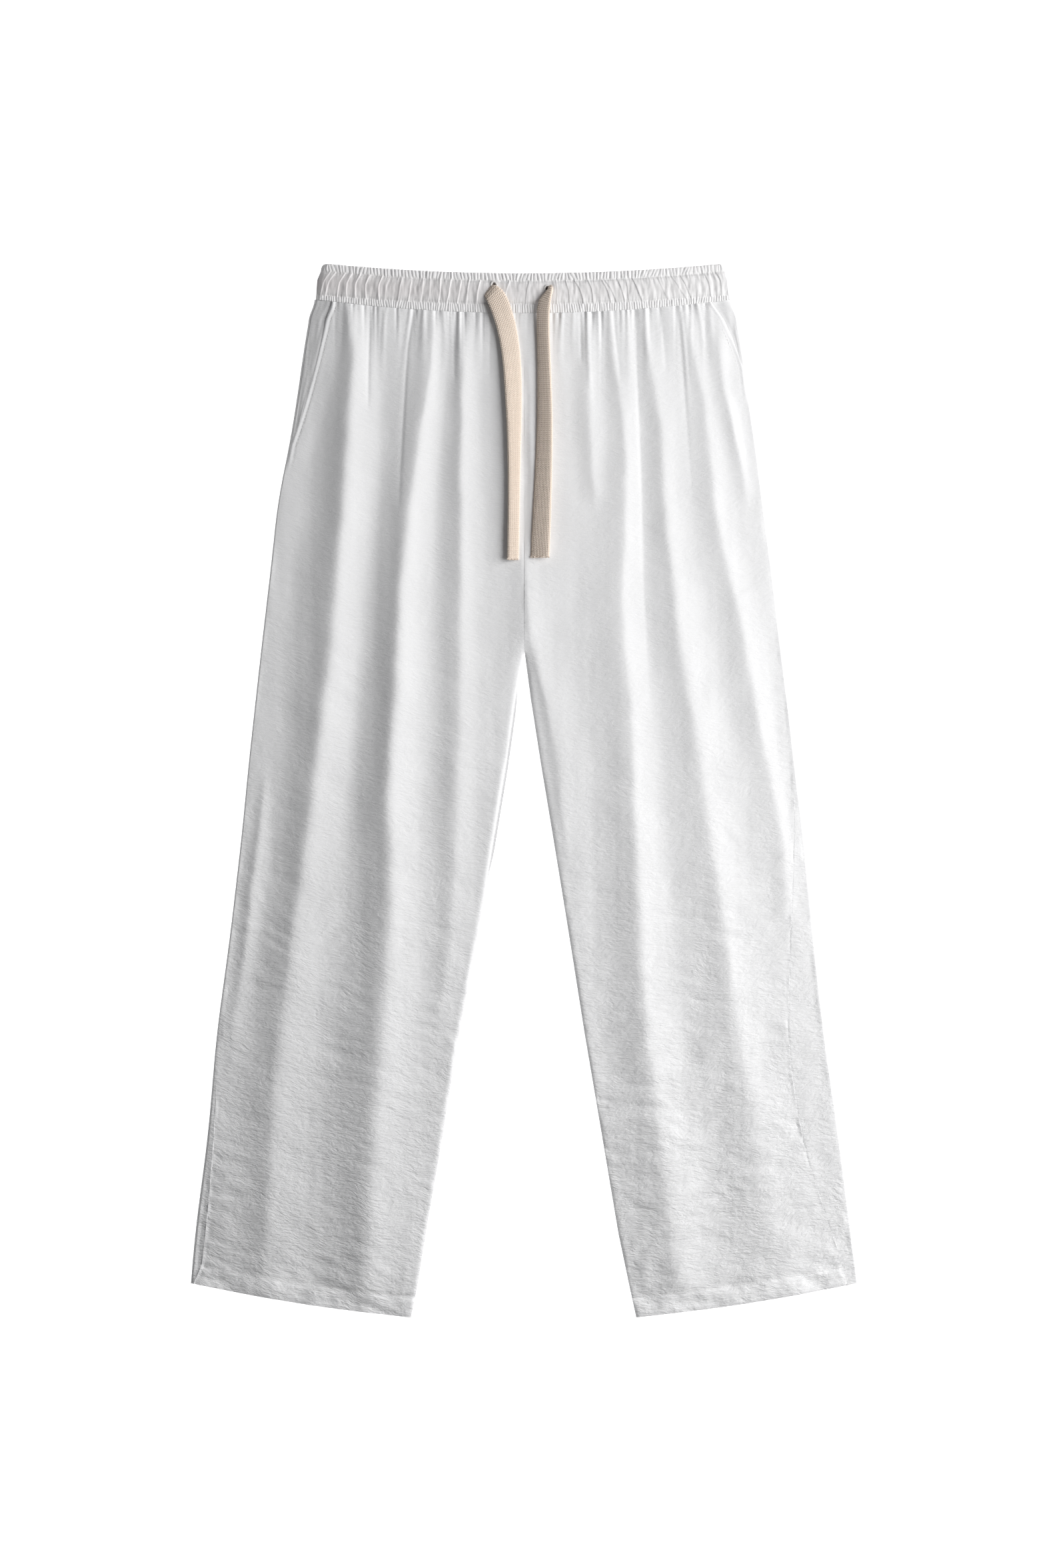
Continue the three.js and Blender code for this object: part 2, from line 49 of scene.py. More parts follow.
# Sizes of the cloth and of the garment's own lines, as in the solids
WALL = 1.2
HOLLOW = 0.8  # between a leg's layers
SEAM_GAP = 0.3  # the same at the inseam
LAID_HEIGHT = 2 * WALL + HOLLOW
EDGE_RADIUS = LAID_HEIGHT / 2  # of the fold at the side
WAIST_HALF = 198
HEADER_HALF = 192
WAIST_SIDE_Y = 465
WAIST_MIDDLE_Y = 452
HEM_INNER_Y = -499.5
HEM_SLOPE = 0.155
HEM_SAG = 3
HEM_INNER_OUT = 107
HEM_OUTER_OUT = 316.5
HEM_DEPTH = 18.5
CROTCH_Y = 131
PANEL_LENGTH = WAIST_MIDDLE_Y - HEM_INNER_Y

# The side seam where it lies in front: its height over the laid cloth, the small step up to it
# on the back panel's strip, how far its flank runs into the front panel, and the share of its
# turn that the twisted hem takes back
SEAM_RISE = {"right": 1.4, "left": 0.3}
SEAM_STEP = {"right": 0.5, "left": 0.04}
SEAM_FLANK = 20
HEM_TWIST = {"right": 0.8, "left": 0}
HEM_LINE_Y = -448

# Small shapes of the front's edges: rims that bend down, the turned hem and its groove, the
# hem's puckers, and the crumpled cloth above it
RIM_DROP, RIM_REACH = 0.9, 1.8
HEM_RAISE, HEM_GROOVE, STITCH_BELOW = 0.4, 0.75, 0.4
HEM_PUCKER, HEM_CRUMPLE, CRUMPLE_REACH = 0.34, 0.38, 95
WAIST_DIP = 0.8
WAIST_PUFF, WAIST_PUFF_REACH = 2.4, 45


def table(columns, rows):
    """Rows of numbers as one array for each named column."""
    return dict(zip(columns.split(), np.array(rows, float).T))


# The legs' half outlines. roll is how far the back panel comes round to the front.
LEG_SECTIONS = {
    "right": table("y outer inner roll", [
        (465, 201, 0, 0), (427, 208, 0, 0), (376, 215, 0, 0), (326, 223, 0, 0),
        (275, 234, 0, 0), (225, 239, 0, 0), (131, 250, 0, 0), (86, 255, 9, 0),
        (22, 262, 18, 0), (-41, 268, 28.5, 0), (-136, 279, 44, 0), (-231, 292, 62, 1),
        (-325, 300, 77, 4), (-420, 312.5, 93.5, 9), (-468, 316.5, 101, 6), (-500, 319, 107.5, 6)]),
    "left": table("y outer inner roll", [
        (465, 199, 0, 0), (427, 206, 0, 0), (376, 212, 0, 0), (326, 220, 0, 0),
        (275, 226, 0, 0), (225, 233, 0, 0), (131, 244, 0, 0), (86, 250, 6, 0),
        (22, 257, 16, 0), (-41, 265, 26.5, 7), (-136, 274, 42, 20), (-231, 284.5, 57, 34),
        (-325, 298, 73, 34), (-420, 310, 89, 16), (-468, 316.5, 99, 6), (-500, 319, 106, 4)]),
}

# Long soft folds, each a ridge line: y, out, rise over the laid cloth, and the half widths of
# its flanks towards the centre (near) and the side (far).
RIDGE_COLUMNS = "y out rise near far"
LONG_FOLDS = {
    "right": [
        table(RIDGE_COLUMNS, [
            (446, 164, 2.4, 14, 12), (408, 161, 5, 26, 25), (332, 169, 6.8, 33, 30),
            (256, 174, 7.2, 31, 33), (142, 183, 7, 33, 38), (41, 195, 6.6, 34, 34),
            (-60, 209, 5.6, 37, 28), (-161, 222, 4.8, 42, 30), (-262, 234, 4, 42, 32),
            (-363, 240, 3.2, 44, 30), (-464, 248, 2.2, 44, 26)]),
        table(RIDGE_COLUMNS, [
            (430, 88, 1.6, 10, 20), (408, 88, 2.6, 13, 36), (332, 100, 4.4, 20, 35),
            (256, 112, 6.2, 28, 31), (180, 119, 7, 31, 30), (92, 123, 7.6, 33, 32),
            (-9, 129, 7.8, 38, 34), (-110, 127, 7.8, 38, 45), (-211, 136, 7.6, 44, 50),
            (-312, 143, 7.4, 48, 50), (-413, 148, 6.4, 50, 50), (-464, 150, 5.2, 50, 50)]),
        table(RIDGE_COLUMNS, [
            (420, 60, 1.8, 14, 12), (370, 60, 2.6, 16, 14), (256, 60, 2.8, 20, 22),
            (142, 61, 2.8, 24, 26), (41, 65, 2.4, 24, 26), (-60, 66, 2.2, 22, 28),
            (-161, 73, 1.6, 20, 24), (-215, 81, 0.8, 18, 20)]),
        table(RIDGE_COLUMNS, [
            (-9, 248, 0.9, 12, 10), (-60, 255, 1.8, 14, 14), (-110, 263, 1.8, 14, 16),
            (-161, 267, 1.4, 14, 14), (-215, 277, 0.6, 14, 12)]),
        table(RIDGE_COLUMNS, [
            (215, 0.5, 1.2, 4, 20), (155, 0.5, 1.9, 4, 22), (110, 1, 1.2, 4, 24)]),
        table(RIDGE_COLUMNS, [
            (400, 15, 0.6, 13, 14), (360, 15, 1.1, 13, 16), (290, 15, 1.2, 13, 16),
            (262, 15, 0.5, 13, 16)]),
    ],
    "left": [
        table(RIDGE_COLUMNS, [
            (215, 2, 0.4, 6, 24), (142, 5, 1, 7, 28), (100, 16, 1.6, 12, 28),
            (41, 30, 1.8, 18, 28), (-9, 36, 1.4, 18, 26), (-60, 40, 0.6, 16, 20)]),
        table(RIDGE_COLUMNS, [
            (215, -0.5, 1.4, 4, 24), (155, -0.5, 2.3, 4, 24), (110, -1, 1.4, 4, 24)]),
        table(RIDGE_COLUMNS, [
            (390, 6, 0.6, 7, 12), (350, 6, 1.2, 7, 14), (270, 6, 1.2, 7, 14),
            (240, 6, 0.6, 7, 14)]),
        table(RIDGE_COLUMNS, [
            (420, 61, 1.2, 14, 12), (370, 61, 1.7, 16, 14), (332, 63, 1.6, 16, 14),
            (290, 66, 1.4, 14, 12)]),
        table(RIDGE_COLUMNS, [
            (430, 84, 0.9, 12, 18), (408, 84, 1.4, 12, 19), (332, 96, 2, 16, 15),
            (256, 94, 2.9, 34, 17), (180, 92, 3.8, 38, 22), (92, 98, 4.6, 40, 25),
            (-9, 103, 5.2, 36, 28), (-110, 107, 5.6, 36, 30), (-211, 115, 5.8, 38, 32),
            (-312, 125, 5.9, 40, 38), (-413, 137, 5.6, 42, 44), (-464, 145, 5, 42, 46)]),
        table(RIDGE_COLUMNS, [
            (446, 112, 0.8, 8, 14), (408, 120, 1.4, 14, 18), (332, 131, 2, 18, 16),
            (256, 133, 2.6, 18, 20), (142, 147, 3.6, 26, 28), (41, 165, 3.8, 32, 32),
            (-60, 178, 4, 38, 30), (-161, 191, 4.2, 42, 30), (-262, 207, 4.2, 46, 36),
            (-363, 224, 3.6, 46, 50), (-464, 240, 2.4, 48, 60)]),
        table(RIDGE_COLUMNS, [
            (446, 153, 0.9, 10, 12), (370, 170, 1.4, 16, 16), (256, 183, 2.2, 20, 18),
            (142, 207, 2.6, 26, 22), (41, 226, 2.2, 26, 18), (-60, 247, 1.4, 24, 16),
            (-112, 249, 1.2, 22, 16)]),
        table(RIDGE_COLUMNS, [
            (408, 184, 1.4, 12, 12), (332, 199, 1.8, 14, 13), (290, 210, 0.8, 12, 12)]),
    ],
}

# Gathers under the waistband: out at the waist and at the foot, length down the cloth, rise.
GATHER_COLUMNS = "out0 out1 length rise"
NOTCHES = 34
GATHERS = {
    "right": table(GATHER_COLUMNS, [
        (14, 12, 60, 1.5), (28, 27, 75, 2), (41, 41, 95, 2.2), (51, 52, 60, 2), (61, 63, 110, 2.6),
        (70, 72, 45, 1.4), (78, 79, 90, 2.6), (87, 89, 40, 1.5), (95, 97, 85, 2.4),
        (107, 116, 130, 2.4), (118, 124, 70, 2), (131, 134, 90, 2), (146, 148, 80, 2.2),
        (156, 158, 60, 1.8), (169, 174, 75, 2), (180, 184, 50, 1.5)]),
    "left": table(GATHER_COLUMNS, [
        (8, 9, 60, 1.4), (22, 22, 50, 1.6), (37, 37, 90, 2.2), (47, 48, 70, 2), (59, 66, 120, 2.4),
        (70, 74, 90, 2.2), (81, 85, 80, 2.2), (90, 92, 45, 1.5), (97, 99, 120, 2.6),
        (114, 117, 100, 2.4), (128, 131, 90, 2.4), (138, 142, 50, 1.6), (147, 156, 120, 2.4),
        (163, 168, 80, 2), (175, 182, 90, 1.8)]),
}

# Crisp creases, each a sharp valley: y, out, depth, and how far its sides take to rise again.
CREASE_COLUMNS = "y out depth near far"
CREASES = {
    "right": [
        table(CREASE_COLUMNS, [
            (459, 146, 1.3, 1.6, 2.8), (430, 147, 1.3, 1.6, 2.8), (392, 148, 1, 1.6, 2.8),
            (362, 148, 0.4, 1.2, 2)]),
        table(CREASE_COLUMNS, [
            (452, 104, 1, 1.2, 4), (440, 109, 0.9, 1.2, 4), (400, 112, 0.8, 1.2, 4),
            (310, 117, 0.7, 1.2, 4), (268, 119, 0.2, 1.2, 4)]),
        table(CREASE_COLUMNS, [(452, 66, 0.9, 3, 2), (420, 67, 0.7, 3, 2), (385, 66, 0.2, 2, 2)]),
        table(CREASE_COLUMNS, [(452, 32, 0.8, 3, 1.5), (425, 33, 0.6, 3, 2), (390, 33, 0.2, 2, 2)]),
    ],
    "left": [
        table(CREASE_COLUMNS, [
            (446, 53, 0.6, 2, 2), (425, 53.5, 1, 1.6, 1.6), (405, 54, 0.4, 1.5, 1.5)]),
        table(CREASE_COLUMNS, [
            (459, 107, 0.8, 2, 6), (420, 105.5, 0.9, 2.2, 10), (341, 109, 0.9, 2.6, 12),
            (286, 111, 0.8, 3, 12), (193, 113, 0.7, 4, 12), (117, 117, 0.4, 5, 12),
            (60, 121, 0.1, 5, 12)]),
        table(CREASE_COLUMNS, [
            (459, 147, 0.8, 2, 2), (425, 150, 0.7, 3, 2), (396, 151, 0.6, 3, 2),
            (330, 155, 0.3, 3, 3), (270, 160, 0.1, 3, 3)]),
        table(CREASE_COLUMNS, [(455, 84, 0.8, 2, 3), (420, 87, 0.6, 2, 3), (385, 92, 0.2, 2, 3)]),
        table(CREASE_COLUMNS, [
            (459, 128, 0.6, 2, 2), (420, 132, 0.4, 2, 3), (395, 135, 0.1, 2, 3)]),
    ],
}

# Slant pockets: the opening's curve, the stitched bead along it, and the facing under it
POCKETS = {
    "right": {"depth": 16.5, "length": 147, "hollow": 1.6, "ease": 1},
    "left": {"depth": 20, "length": 82, "hollow": 1, "ease": 1.6},
}
# The front panel is raised over the facing. From the opening inwards it is full and then ends,
# and it fades below the pocket's foot.
POCKET_LIFT, POCKET_LIFT_FULL, POCKET_LIFT_END, POCKET_FADE = 0.4, 10, 24, 22
POCKET_WALL = 0.5
POCKET_BEAD = {"right": 0.4, "left": 0.15}
POCKET_EDGE_DROP, POCKET_STITCH_IN = 0.35, 5.2
FACING_UNDER = 8
FACING_SLOPE = {"right": 1.3, "left": 0.3}
# Painted shade on the pocket facings: how much darker the colour is made all over, and more near
# the opening.
FACING_PAINTED_SHADE = {"right": (0.9, 0.3), "left": (0.05, 0.8)}  # all over, and more at the opening

# Folds across the elastic casing: x at its upper and its lower seam.
CASING_FOLDS = table("top foot", [
    (-193.5, -198), (-184.5, -194), (-179.5, -189.5), (-170, -178), (-164, -169),
    (-156, -160.5), (-147, -150.5), (-135, -138.5), (-127.5, -133), (-116, -120),
    (-107, -110.5), (-96, -99), (-89, -92), (-80, -82), (-70, -74), (-60, -64),
    (-52.5, -55.5), (-42, -45.5), (-14, -18), (4.5, 1.5), (30, 30.5), (39, 42.5), (47.5, 56),
    (60, 65), (73, 82), (75.5, 87.5), (88, 95.5), (96, 99), (102.5, 112), (126, 136.5),
    (139.5, 153.5), (148, 158.5), (170.5, 177), (182, 187), (190, 192.5), (193.5, 197.5)])
HEADER_RIDGES = 117
RIB_BAND_RIDGES = 168

# The eyelets' middles, the height of the cloth in them, their holes, and the rings of stitches
EYELETS = {"right": (-29, 478.8), "left": (21.6, 475.2)}
EYELET_FLOOR = 3.7
HOLE_HALF_WIDTH, HOLE_HALF_HEIGHT = 1.7, 1.9
RIM_HALF_WIDTH, RIM_HALF_HEIGHT, RIM_Z = 2.7, 2.9, 7.1

# Free ends of the drawstring: the middle line's x, y, z from the eyelet to the cut end, with the
# braid's width and its roll in degrees: 0 lies flat and 90 turns its face to +X.
CORD_COLUMNS = "x y z width roll"
CORDS = {
    "right": table(CORD_COLUMNS, [
        (-33.8, 473.6, 5, 13, 0), (-32.4, 472.4, 8, 14.5, 0), (-30, 470.4, 9.6, 16.6, 0),
        (-27.6, 467.6, 9.9, 18, 1), (-25.4, 463.6, 9.8, 18.6, 2), (-23.2, 458.4, 9.6, 18.8, 3),
        (-20.8, 451.5, 9.2, 18.6, 5), (-17.9, 442, 8.2, 18.4, 7), (-14.9, 428, 7.2, 18, 11),
        (-12.9, 414, 6.8, 17.6, 13), (-11.6, 400, 6.7, 17.2, 15), (-10.9, 386, 6.7, 16.7, 16),
        (-10.4, 371, 6.7, 16, 17), (-10, 354, 6.6, 14.8, 18), (-9.9, 336, 6.6, 13.6, 19),
        (-9.9, 317, 6.6, 12.6, 20), (-10, 299, 6.6, 12, 20), (-10.1, 280, 6.6, 11.6, 20),
        (-10.3, 260, 6.6, 11.5, 20), (-10.6, 240, 6.6, 11.4, 19), (-10.9, 219.5, 6.6, 11.2, 18)]),
    "left": table(CORD_COLUMNS, [
        (25.2, 476.6, 4.6, 3.4, -20), (24.6, 474.2, 7.8, 4.4, -24), (23.4, 471, 9.6, 6, -24),
        (21.2, 467, 10.4, 9, -22), (18.9, 461.6, 10.6, 12, -20), (17.9, 454, 10.4, 12.4, -20),
        (17.7, 444, 9.2, 12.4, -20), (17.8, 431, 8.2, 12.4, -20), (18.3, 415, 7.7, 12.6, -20),
        (18.8, 399, 7.4, 13, -19), (19.1, 383, 7.3, 13.6, -19), (19.4, 366, 7.2, 14.2, -18),
        (19.4, 349, 7.1, 14.8, -18), (19.1, 332, 7.1, 15.4, -17), (18.6, 314, 7, 16, -17),
        (18, 296, 7, 16.6, -16), (17.3, 278, 7, 17, -16), (16.6, 260, 7, 17.4, -15),
        (15.7, 241, 7, 17.8, -15), (14.9, 221.5, 7, 18, -15)]),
}
CORD_WIDTH = 18
CORD_THICKNESS = 3.9


# Shapes of the cloth as functions of place

def smooth(x):
    t = np.clip(x, 0, 1)
    return t * t * (3 - 2 * t)


def bell(x):
    """1 in the middle, 0 from 1 outwards, with a round top."""
    return np.cos(np.clip(np.abs(x), 0, 1) * np.pi / 2) ** 2


def read_down(rows, column, y, shifts=(0,)):
    """A table's column at y. Several shifts give the mean of places above and below, which
    rounds the corners at the table's rows."""
    places, values = rows["y"][::-1], rows[column][::-1]
    return sum(np.interp(y + shift, places, values) for shift in shifts) / len(shifts)


def waist_y(x):
    """The seam between the waistband and the legs."""
    return WAIST_MIDDLE_Y + (WAIST_SIDE_Y - WAIST_MIDDLE_Y) * (x / WAIST_HALF) ** 2


def hem_y(out):
    """The lower edge of a leg."""
    across = np.clip((out - HEM_INNER_OUT) / (HEM_OUTER_OUT - HEM_INNER_OUT), 0, 1)
    return HEM_INNER_Y + HEM_SLOPE * (out - HEM_INNER_OUT) - HEM_SAG * np.sin(np.pi * across)


def leg_place(side, across, along):
    """The laid leg's place, across 0 (side) to 1 (centre or inseam) and along 0 (waist) to 1."""
    outer_y = waist_y(WAIST_HALF) * (1 - along) + hem_y(HEM_OUTER_OUT) * along
    inner_y = waist_y(0) * (1 - along) + hem_y(HEM_INNER_OUT) * along
    outer = read_down(LEG_SECTIONS[side], "outer", outer_y, (-24, -8, 8, 24))
    outer = outer - 3.5 * (1 - smooth(along * PANEL_LENGTH / 20))  # drawn in by the waistband
    inner = read_down(LEG_SECTIONS[side], "inner", inner_y)
    waist_out = WAIST_HALF * (1 - across)
    hem_out = HEM_OUTER_OUT * (1 - across) + HEM_INNER_OUT * across
    return {
        "out": outer * (1 - across) + inner * across,
        "y": waist_y(waist_out) * (1 - along) + hem_y(hem_out) * along,
        "outer": outer, "inner": inner, "outer_y": outer_y, "inner_y": inner_y,
        "down": along * PANEL_LENGTH,
    }


def side_roll(side, y):
    """How far the back panel comes round to the front at y, without corners: less in the hem,
    which is twisted."""
    roll = read_down(LEG_SECTIONS[side], "roll", y, (-36, -18, 0, 18, 36))
    return roll * (1 - HEM_TWIST[side] * np.clip((HEM_LINE_Y - y) / HEM_DEPTH, 0, 1))


def seam_lift(side, y):
    """How high the side seam stands where it lies in front, so the strip beside it slopes away."""
    return SEAM_RISE[side] * smooth(side_roll(side, np.maximum(y, HEM_LINE_Y)) / 8)


def pocket_inset(side, y):
    """How far the pocket's opening lies in from the side at y."""
    pocket = POCKETS[side]
    down = np.clip((WAIST_SIDE_Y - y) / pocket["length"], 0, 1)
    return pocket["depth"] * (1 - down ** pocket["hollow"]) ** pocket["ease"]


def rounded(distance, softness, radius):
    """A distance from a line that starts softly, so what is built on it has no sharp edge."""
    return np.sqrt(distance * distance + softness) - radius


def crest(x):
    """1 in the middle, 0 from 1 outwards: a narrow rounded crest with hollow flanks."""
    return np.clip(1 - 0.92 * rounded(x, 0.0361, 0.19), 0, 1) ** 2.1


def along_line(line, y):
    """The columns of a table of places down the cloth, between its rows at y."""
    return {name: read_down(line, name, y, (-18, -6, 6, 18)) for name in line}


FULLNESS = {"right": 1.22, "left": 1.02}  # of each leg's folds, against their tables
FOLD_TOP, FOLD_FOOT = 34, 30  # how far a fold takes to rise and to end
# Waves of a fold's line: size, length down the cloth, and a turn that differs for each fold
SWAY = ((0.7, 60, 2.1), (0.5, 27, 1.3), (0.35, 11.3, 3.1), (0.25, 6.1, 1.7))


def long_folds(side, out, y):
    """The long soft folds, each swaying a little about its table's line."""
    rise = 0
    for k, line in enumerate(LONG_FOLDS[side]):
        at = along_line(line, y)
        sway = sum(size * np.sin(y / length + turn * k) for size, length, turn in SWAY)
        offset = out - at["out"] - sway
        reach = offset / np.where(offset < 0, at["near"], at["far"])
        top, foot = line["y"][0], line["y"][-1]
        ends = smooth((top + FOLD_TOP - y) / FOLD_TOP) * smooth((y - foot + FOLD_FOOT) / FOLD_FOOT)
        rise = rise + FULLNESS[side] * at["rise"] * crest(reach) * ends
    return rise


def waist_gathers(side, out, y):
    """Short soft gathers under the waistband, with small notches where they are stitched in."""
    rise = 0
    gathers = GATHERS[side]
    draw = np.random.default_rng(61 + SIDES[side])
    for first, last, length, height in zip(*gathers.values()):
        t = np.clip((WAIST_MIDDLE_Y + 12 - y) / length, 0, 1)
        half = 2.3 + draw.uniform(2, 7) * t
        offset = out - (first + (last - first) * t + draw.normal(0, 1.6) * np.sin(3 * t))
        rise = rise + draw.uniform(0.15, 0.5) * height * (1 - t) ** 1.3 * bell(offset / half)
    below = waist_y(out) - y
    for place in draw.uniform(3, WAIST_HALF - 8, NOTCHES):
        depth, reach = draw.uniform(0.4, 1.2), draw.uniform(4, 20)
        rise = rise - depth * bell((out - place) / 1.9) * np.exp(-np.clip(below, 0, None) / reach)
    return rise


def crisp_creases(side, out, y):
    """The sharp valleys, below 0."""
    rise = 0
    for line in CREASES[side]:
        at = along_line(line, y)
        offset = out - at["out"]
        flank = np.where(offset < 0, at["near"], at["far"])
        valley = np.exp(-rounded(offset, 0.15, 0.38) / flank)
        ends = smooth((line["y"][0] + 16 - y) / 12) * smooth((y - line["y"][-1] + 6) / 18)
        rise = rise - at["depth"] * valley * ends
    return rise


def noise(shape, rows, columns, seed):
    """Soft noise on a grid, with a spread of 1 and a grain of that many rows and columns."""
    grain = np.random.default_rng(seed).standard_normal(shape)
    down, along = np.fft.fftfreq(shape[0])[:, None], np.fft.fftfreq(shape[1])[None, :]
    keep = np.exp(-2 * (np.pi ** 2) * ((rows * down) ** 2 + (columns * along) ** 2))
    soft = np.fft.ifft2(np.fft.fft2(grain) * keep).real
    return soft / soft.std()


def lowest_near(height, reach):
    """The lowest height within reach rows and columns of each point."""
    for axis in (0, 1):
        padding = [(reach, reach) if k == axis else (0, 0) for k in (0, 1)]
        padded = np.pad(height, padding, mode="edge")
        size = height.shape[axis]
        shifted = [np.take(padded, range(k, k + size), axis) for k in range(2 * reach + 1)]
        height = np.min(shifted, axis=0)
    return height


class Texture:
    """Soft noise over a leg's cloth, read at any out and down in millimetres."""
    SHAPE, STEP_DOWN, STEP_OUT, FIRST_DOWN, FIRST_OUT = (1280, 240), 0.8, 1.6, -30, -20

    def __init__(self, tall, wide, seed):
        self.cells = noise(self.SHAPE, tall / self.STEP_DOWN, wide / self.STEP_OUT, seed)

    def at(self, out, down):
        row = np.clip((down - self.FIRST_DOWN) / self.STEP_DOWN, 0, self.cells.shape[0] - 1.001)
        column = np.clip((out - self.FIRST_OUT) / self.STEP_OUT, 0, self.cells.shape[1] - 1.001)
        row, column = np.broadcast_arrays(row, column)
        i, j = row.astype(int), column.astype(int)
        a, b = row - i, column - j
        c = self.cells
        return ((c[i, j] * (1 - b) + c[i, j + 1] * b) * (1 - a)
                + (c[i + 1, j] * (1 - b) + c[i + 1, j + 1] * b) * a)


# Meshes

def finish_mesh(name, vertices, faces, uv=None, values=None):
    """A smooth-shaded object from points in metres, with a uv and named values at each point."""
    mesh = bpy.data.meshes.new(name)
    mesh.from_pydata(vertices.tolist(), [], faces)
    mesh.polygons.foreach_set("use_smooth", [True] * len(mesh.polygons))
    if uv is not None:
        corner = np.empty(len(mesh.loops), dtype=np.int32)
        mesh.loops.foreach_get("vertex_index", corner)
        layer = mesh.uv_layers.new(name="cloth")
        layer.data.foreach_set("uv", uv[corner].astype(np.float32).ravel())
    for key, column in (values or {}).items():
        attribute = mesh.attributes.new(key, "FLOAT", "POINT")
        attribute.data.foreach_set("value", column.astype(np.float32).ravel())
    mesh.update()
    piece = bpy.data.objects.new(name, mesh)
    bpy.context.collection.objects.link(piece)
    return piece


def grid_faces(numbers, flip):
    """Quads over a grid of vertex numbers."""
    a, b = numbers[:-1, :-1].ravel(), numbers[1:, :-1].ravel()
    c, d = numbers[1:, 1:].ravel(), numbers[:-1, 1:].ravel()
    quads = np.stack([d, c, b, a] if flip else [a, b, c, d], axis=1)
    return quads.tolist()


def rim_faces(fine, coarse, flip):
    """The strip between the edge of a fine skin and the edge of a coarse one over the same rim."""
    def loop(numbers):
        return [numbers[-1, :], numbers[::-1, -1], numbers[0, ::-1], numbers[:, 0]]

    faces = []
    for fine_side, coarse_side in zip(loop(fine), loop(coarse)):
        ratio = (len(fine_side) - 1) // (len(coarse_side) - 1)
        for k in range(len(coarse_side) - 1):
            low, high = coarse_side[k], coarse_side[k + 1]
            part = fine_side[k * ratio:(k + 1) * ratio + 1]
            fan = [(low, high, part[-1])]
            fan += [(low, part[j + 1], part[j]) for j in range(ratio)]
            faces += [f[::-1] if flip else f for f in fan]
    return [[int(v) for v in f] for f in faces]


def wall_piece(name, shown, hidden, flip, uv, values):
    """A closed wall: a fine skin that shows and a coarse one behind it, both as rows of points
    in millimetres. Rows run down and columns to +X, unless flip is set."""
    fine = np.arange(shown[..., 0].size).reshape(shown.shape[:2])
    coarse = fine.size + np.arange(hidden[..., 0].size).reshape(hidden.shape[:2])
    vertices = np.concatenate([shown.reshape(-1, 3), hidden.reshape(-1, 3)]) * MM
    faces = grid_faces(fine, flip) + grid_faces(coarse, not flip) + rim_faces(fine, coarse, flip)
    down, across = [(a - 1) // (b - 1) for a, b in zip(fine.shape, coarse.shape)]

    def for_both(array):
        return np.concatenate([array.reshape(fine.size, -1),
                               array[::down, ::across].reshape(coarse.size, -1)])

    values = {key: for_both(column) for key, column in values.items()}
    return finish_mesh(name, vertices, faces, for_both(uv), values)


def keep_rim_sharp(mesh, numbers):
    """Ends the smooth shading at the rim of a skin, given the numbers of its vertices."""
    on_rim = np.zeros(len(mesh.vertices), bool)
    on_rim[np.concatenate([numbers[0], numbers[-1], numbers[:, 0], numbers[:, -1]])] = True
    ends = np.empty(2 * len(mesh.edges), np.int32)
    mesh.edges.foreach_get("vertices", ends)
    sharp = np.empty(len(mesh.edges), bool)
    mesh.edges.foreach_get("use_edge_sharp", sharp)
    sharp |= on_rim[ends.reshape(-1, 2)].all(axis=1)
    mesh.edges.foreach_set("use_edge_sharp", sharp)


# The cloth pieces

FRONT_SHARP, BACK_SHARP = math.radians(80), math.radians(32)  # steeper edges are shaded sharp
FLOOR_CLEAR = 0.2
PANEL_SHAPE = (449, 193)
HIDDEN_STEP = 8  # rows and columns of the fine skin to one of the coarse skin


def lower_part(down):
    """0 on the upper legs, rising to 1 at the hems, where the cloth is more wrinkled."""
    return smooth((down - 130) / 760)


class Crepe:
    """The short crosswise wrinkles of one leg's crepe-like cloth, in millimetres of height."""

    def __init__(self, seed):
        self.fine = Texture(1.9, 5, seed)
        self.broad = Texture(3, 9, seed + 1)
        self.bend = Texture(16, 22, seed + 2)
        self.patch = Texture(26, 20, seed + 3)
        self.swell = Texture(14, 11, seed + 4)
        self.streak = Texture(60, 3.2, seed + 5)

    def at(self, out, down):
        bent = down + 5 * self.bend.at(out, down)
        patch = smooth(0.5 + 0.4 * self.patch.at(out, down))
        lower = lower_part(down)
        strength = (0.3 + 0.7 * lower) * (1.15 + 0.8 * lower ** 2) * (0.45 + 0.55 * patch)
        fine = self.fine.at(out, bent)
        broad = self.broad.at(out, bent)
        wrinkles = (0.08 * fine - 0.05 * np.abs(fine)
                    + (0.12 + 0.06 * lower) * broad - 0.05 * np.abs(broad))
        soft = (0.16 + 0.14 * lower) * self.swell.at(out, down) + 0.05 * self.streak.at(out, down)
        return strength * wrinkles + soft


CREPE = {"right": Crepe(110), "left": Crepe(210)}


def wrinkle_strength(down):
    """How strong the shader's own fine wrinkles are."""
    lower = lower_part(down)
    return 0.45 + 0.65 * lower + 0.45 * lower ** 4


def front_height(side, place):
    """Height of the laid front over the surface, without its small wrinkles."""
    out, y, down = place["out"], place["y"], place["down"]
    outer, inner = place["outer"], place["inner"]
    below_crotch = smooth((CROTCH_Y + 20 - y) / 40)
    at_side = smooth((outer - out - EDGE_RADIUS) / 18)
    at_inner = 1 - below_crotch * (1 - smooth((out - inner) / 14))
    folds = long_folds(side, out, y) + waist_gathers(side, out, y)
    folds = folds * at_side * at_inner
    folds = folds + crisp_creases(side, out, y)
    puff = WAIST_PUFF * np.exp(-down / WAIST_PUFF_REACH) * at_side
    seam_dip = below_crotch * (HOLLOW - SEAM_GAP) * (1 - smooth((out - inner) / 5))
    return LAID_HEIGHT + folds + puff - seam_dip


UV_APART = {"right": 0, "left": 600}


def cloth_uv(side, out, down):
    """UV in metres: across the leg and down it, with the legs kept apart."""
    return np.stack([out + UV_APART[side] + 0 * down, down + 0 * out], axis=2) * MM


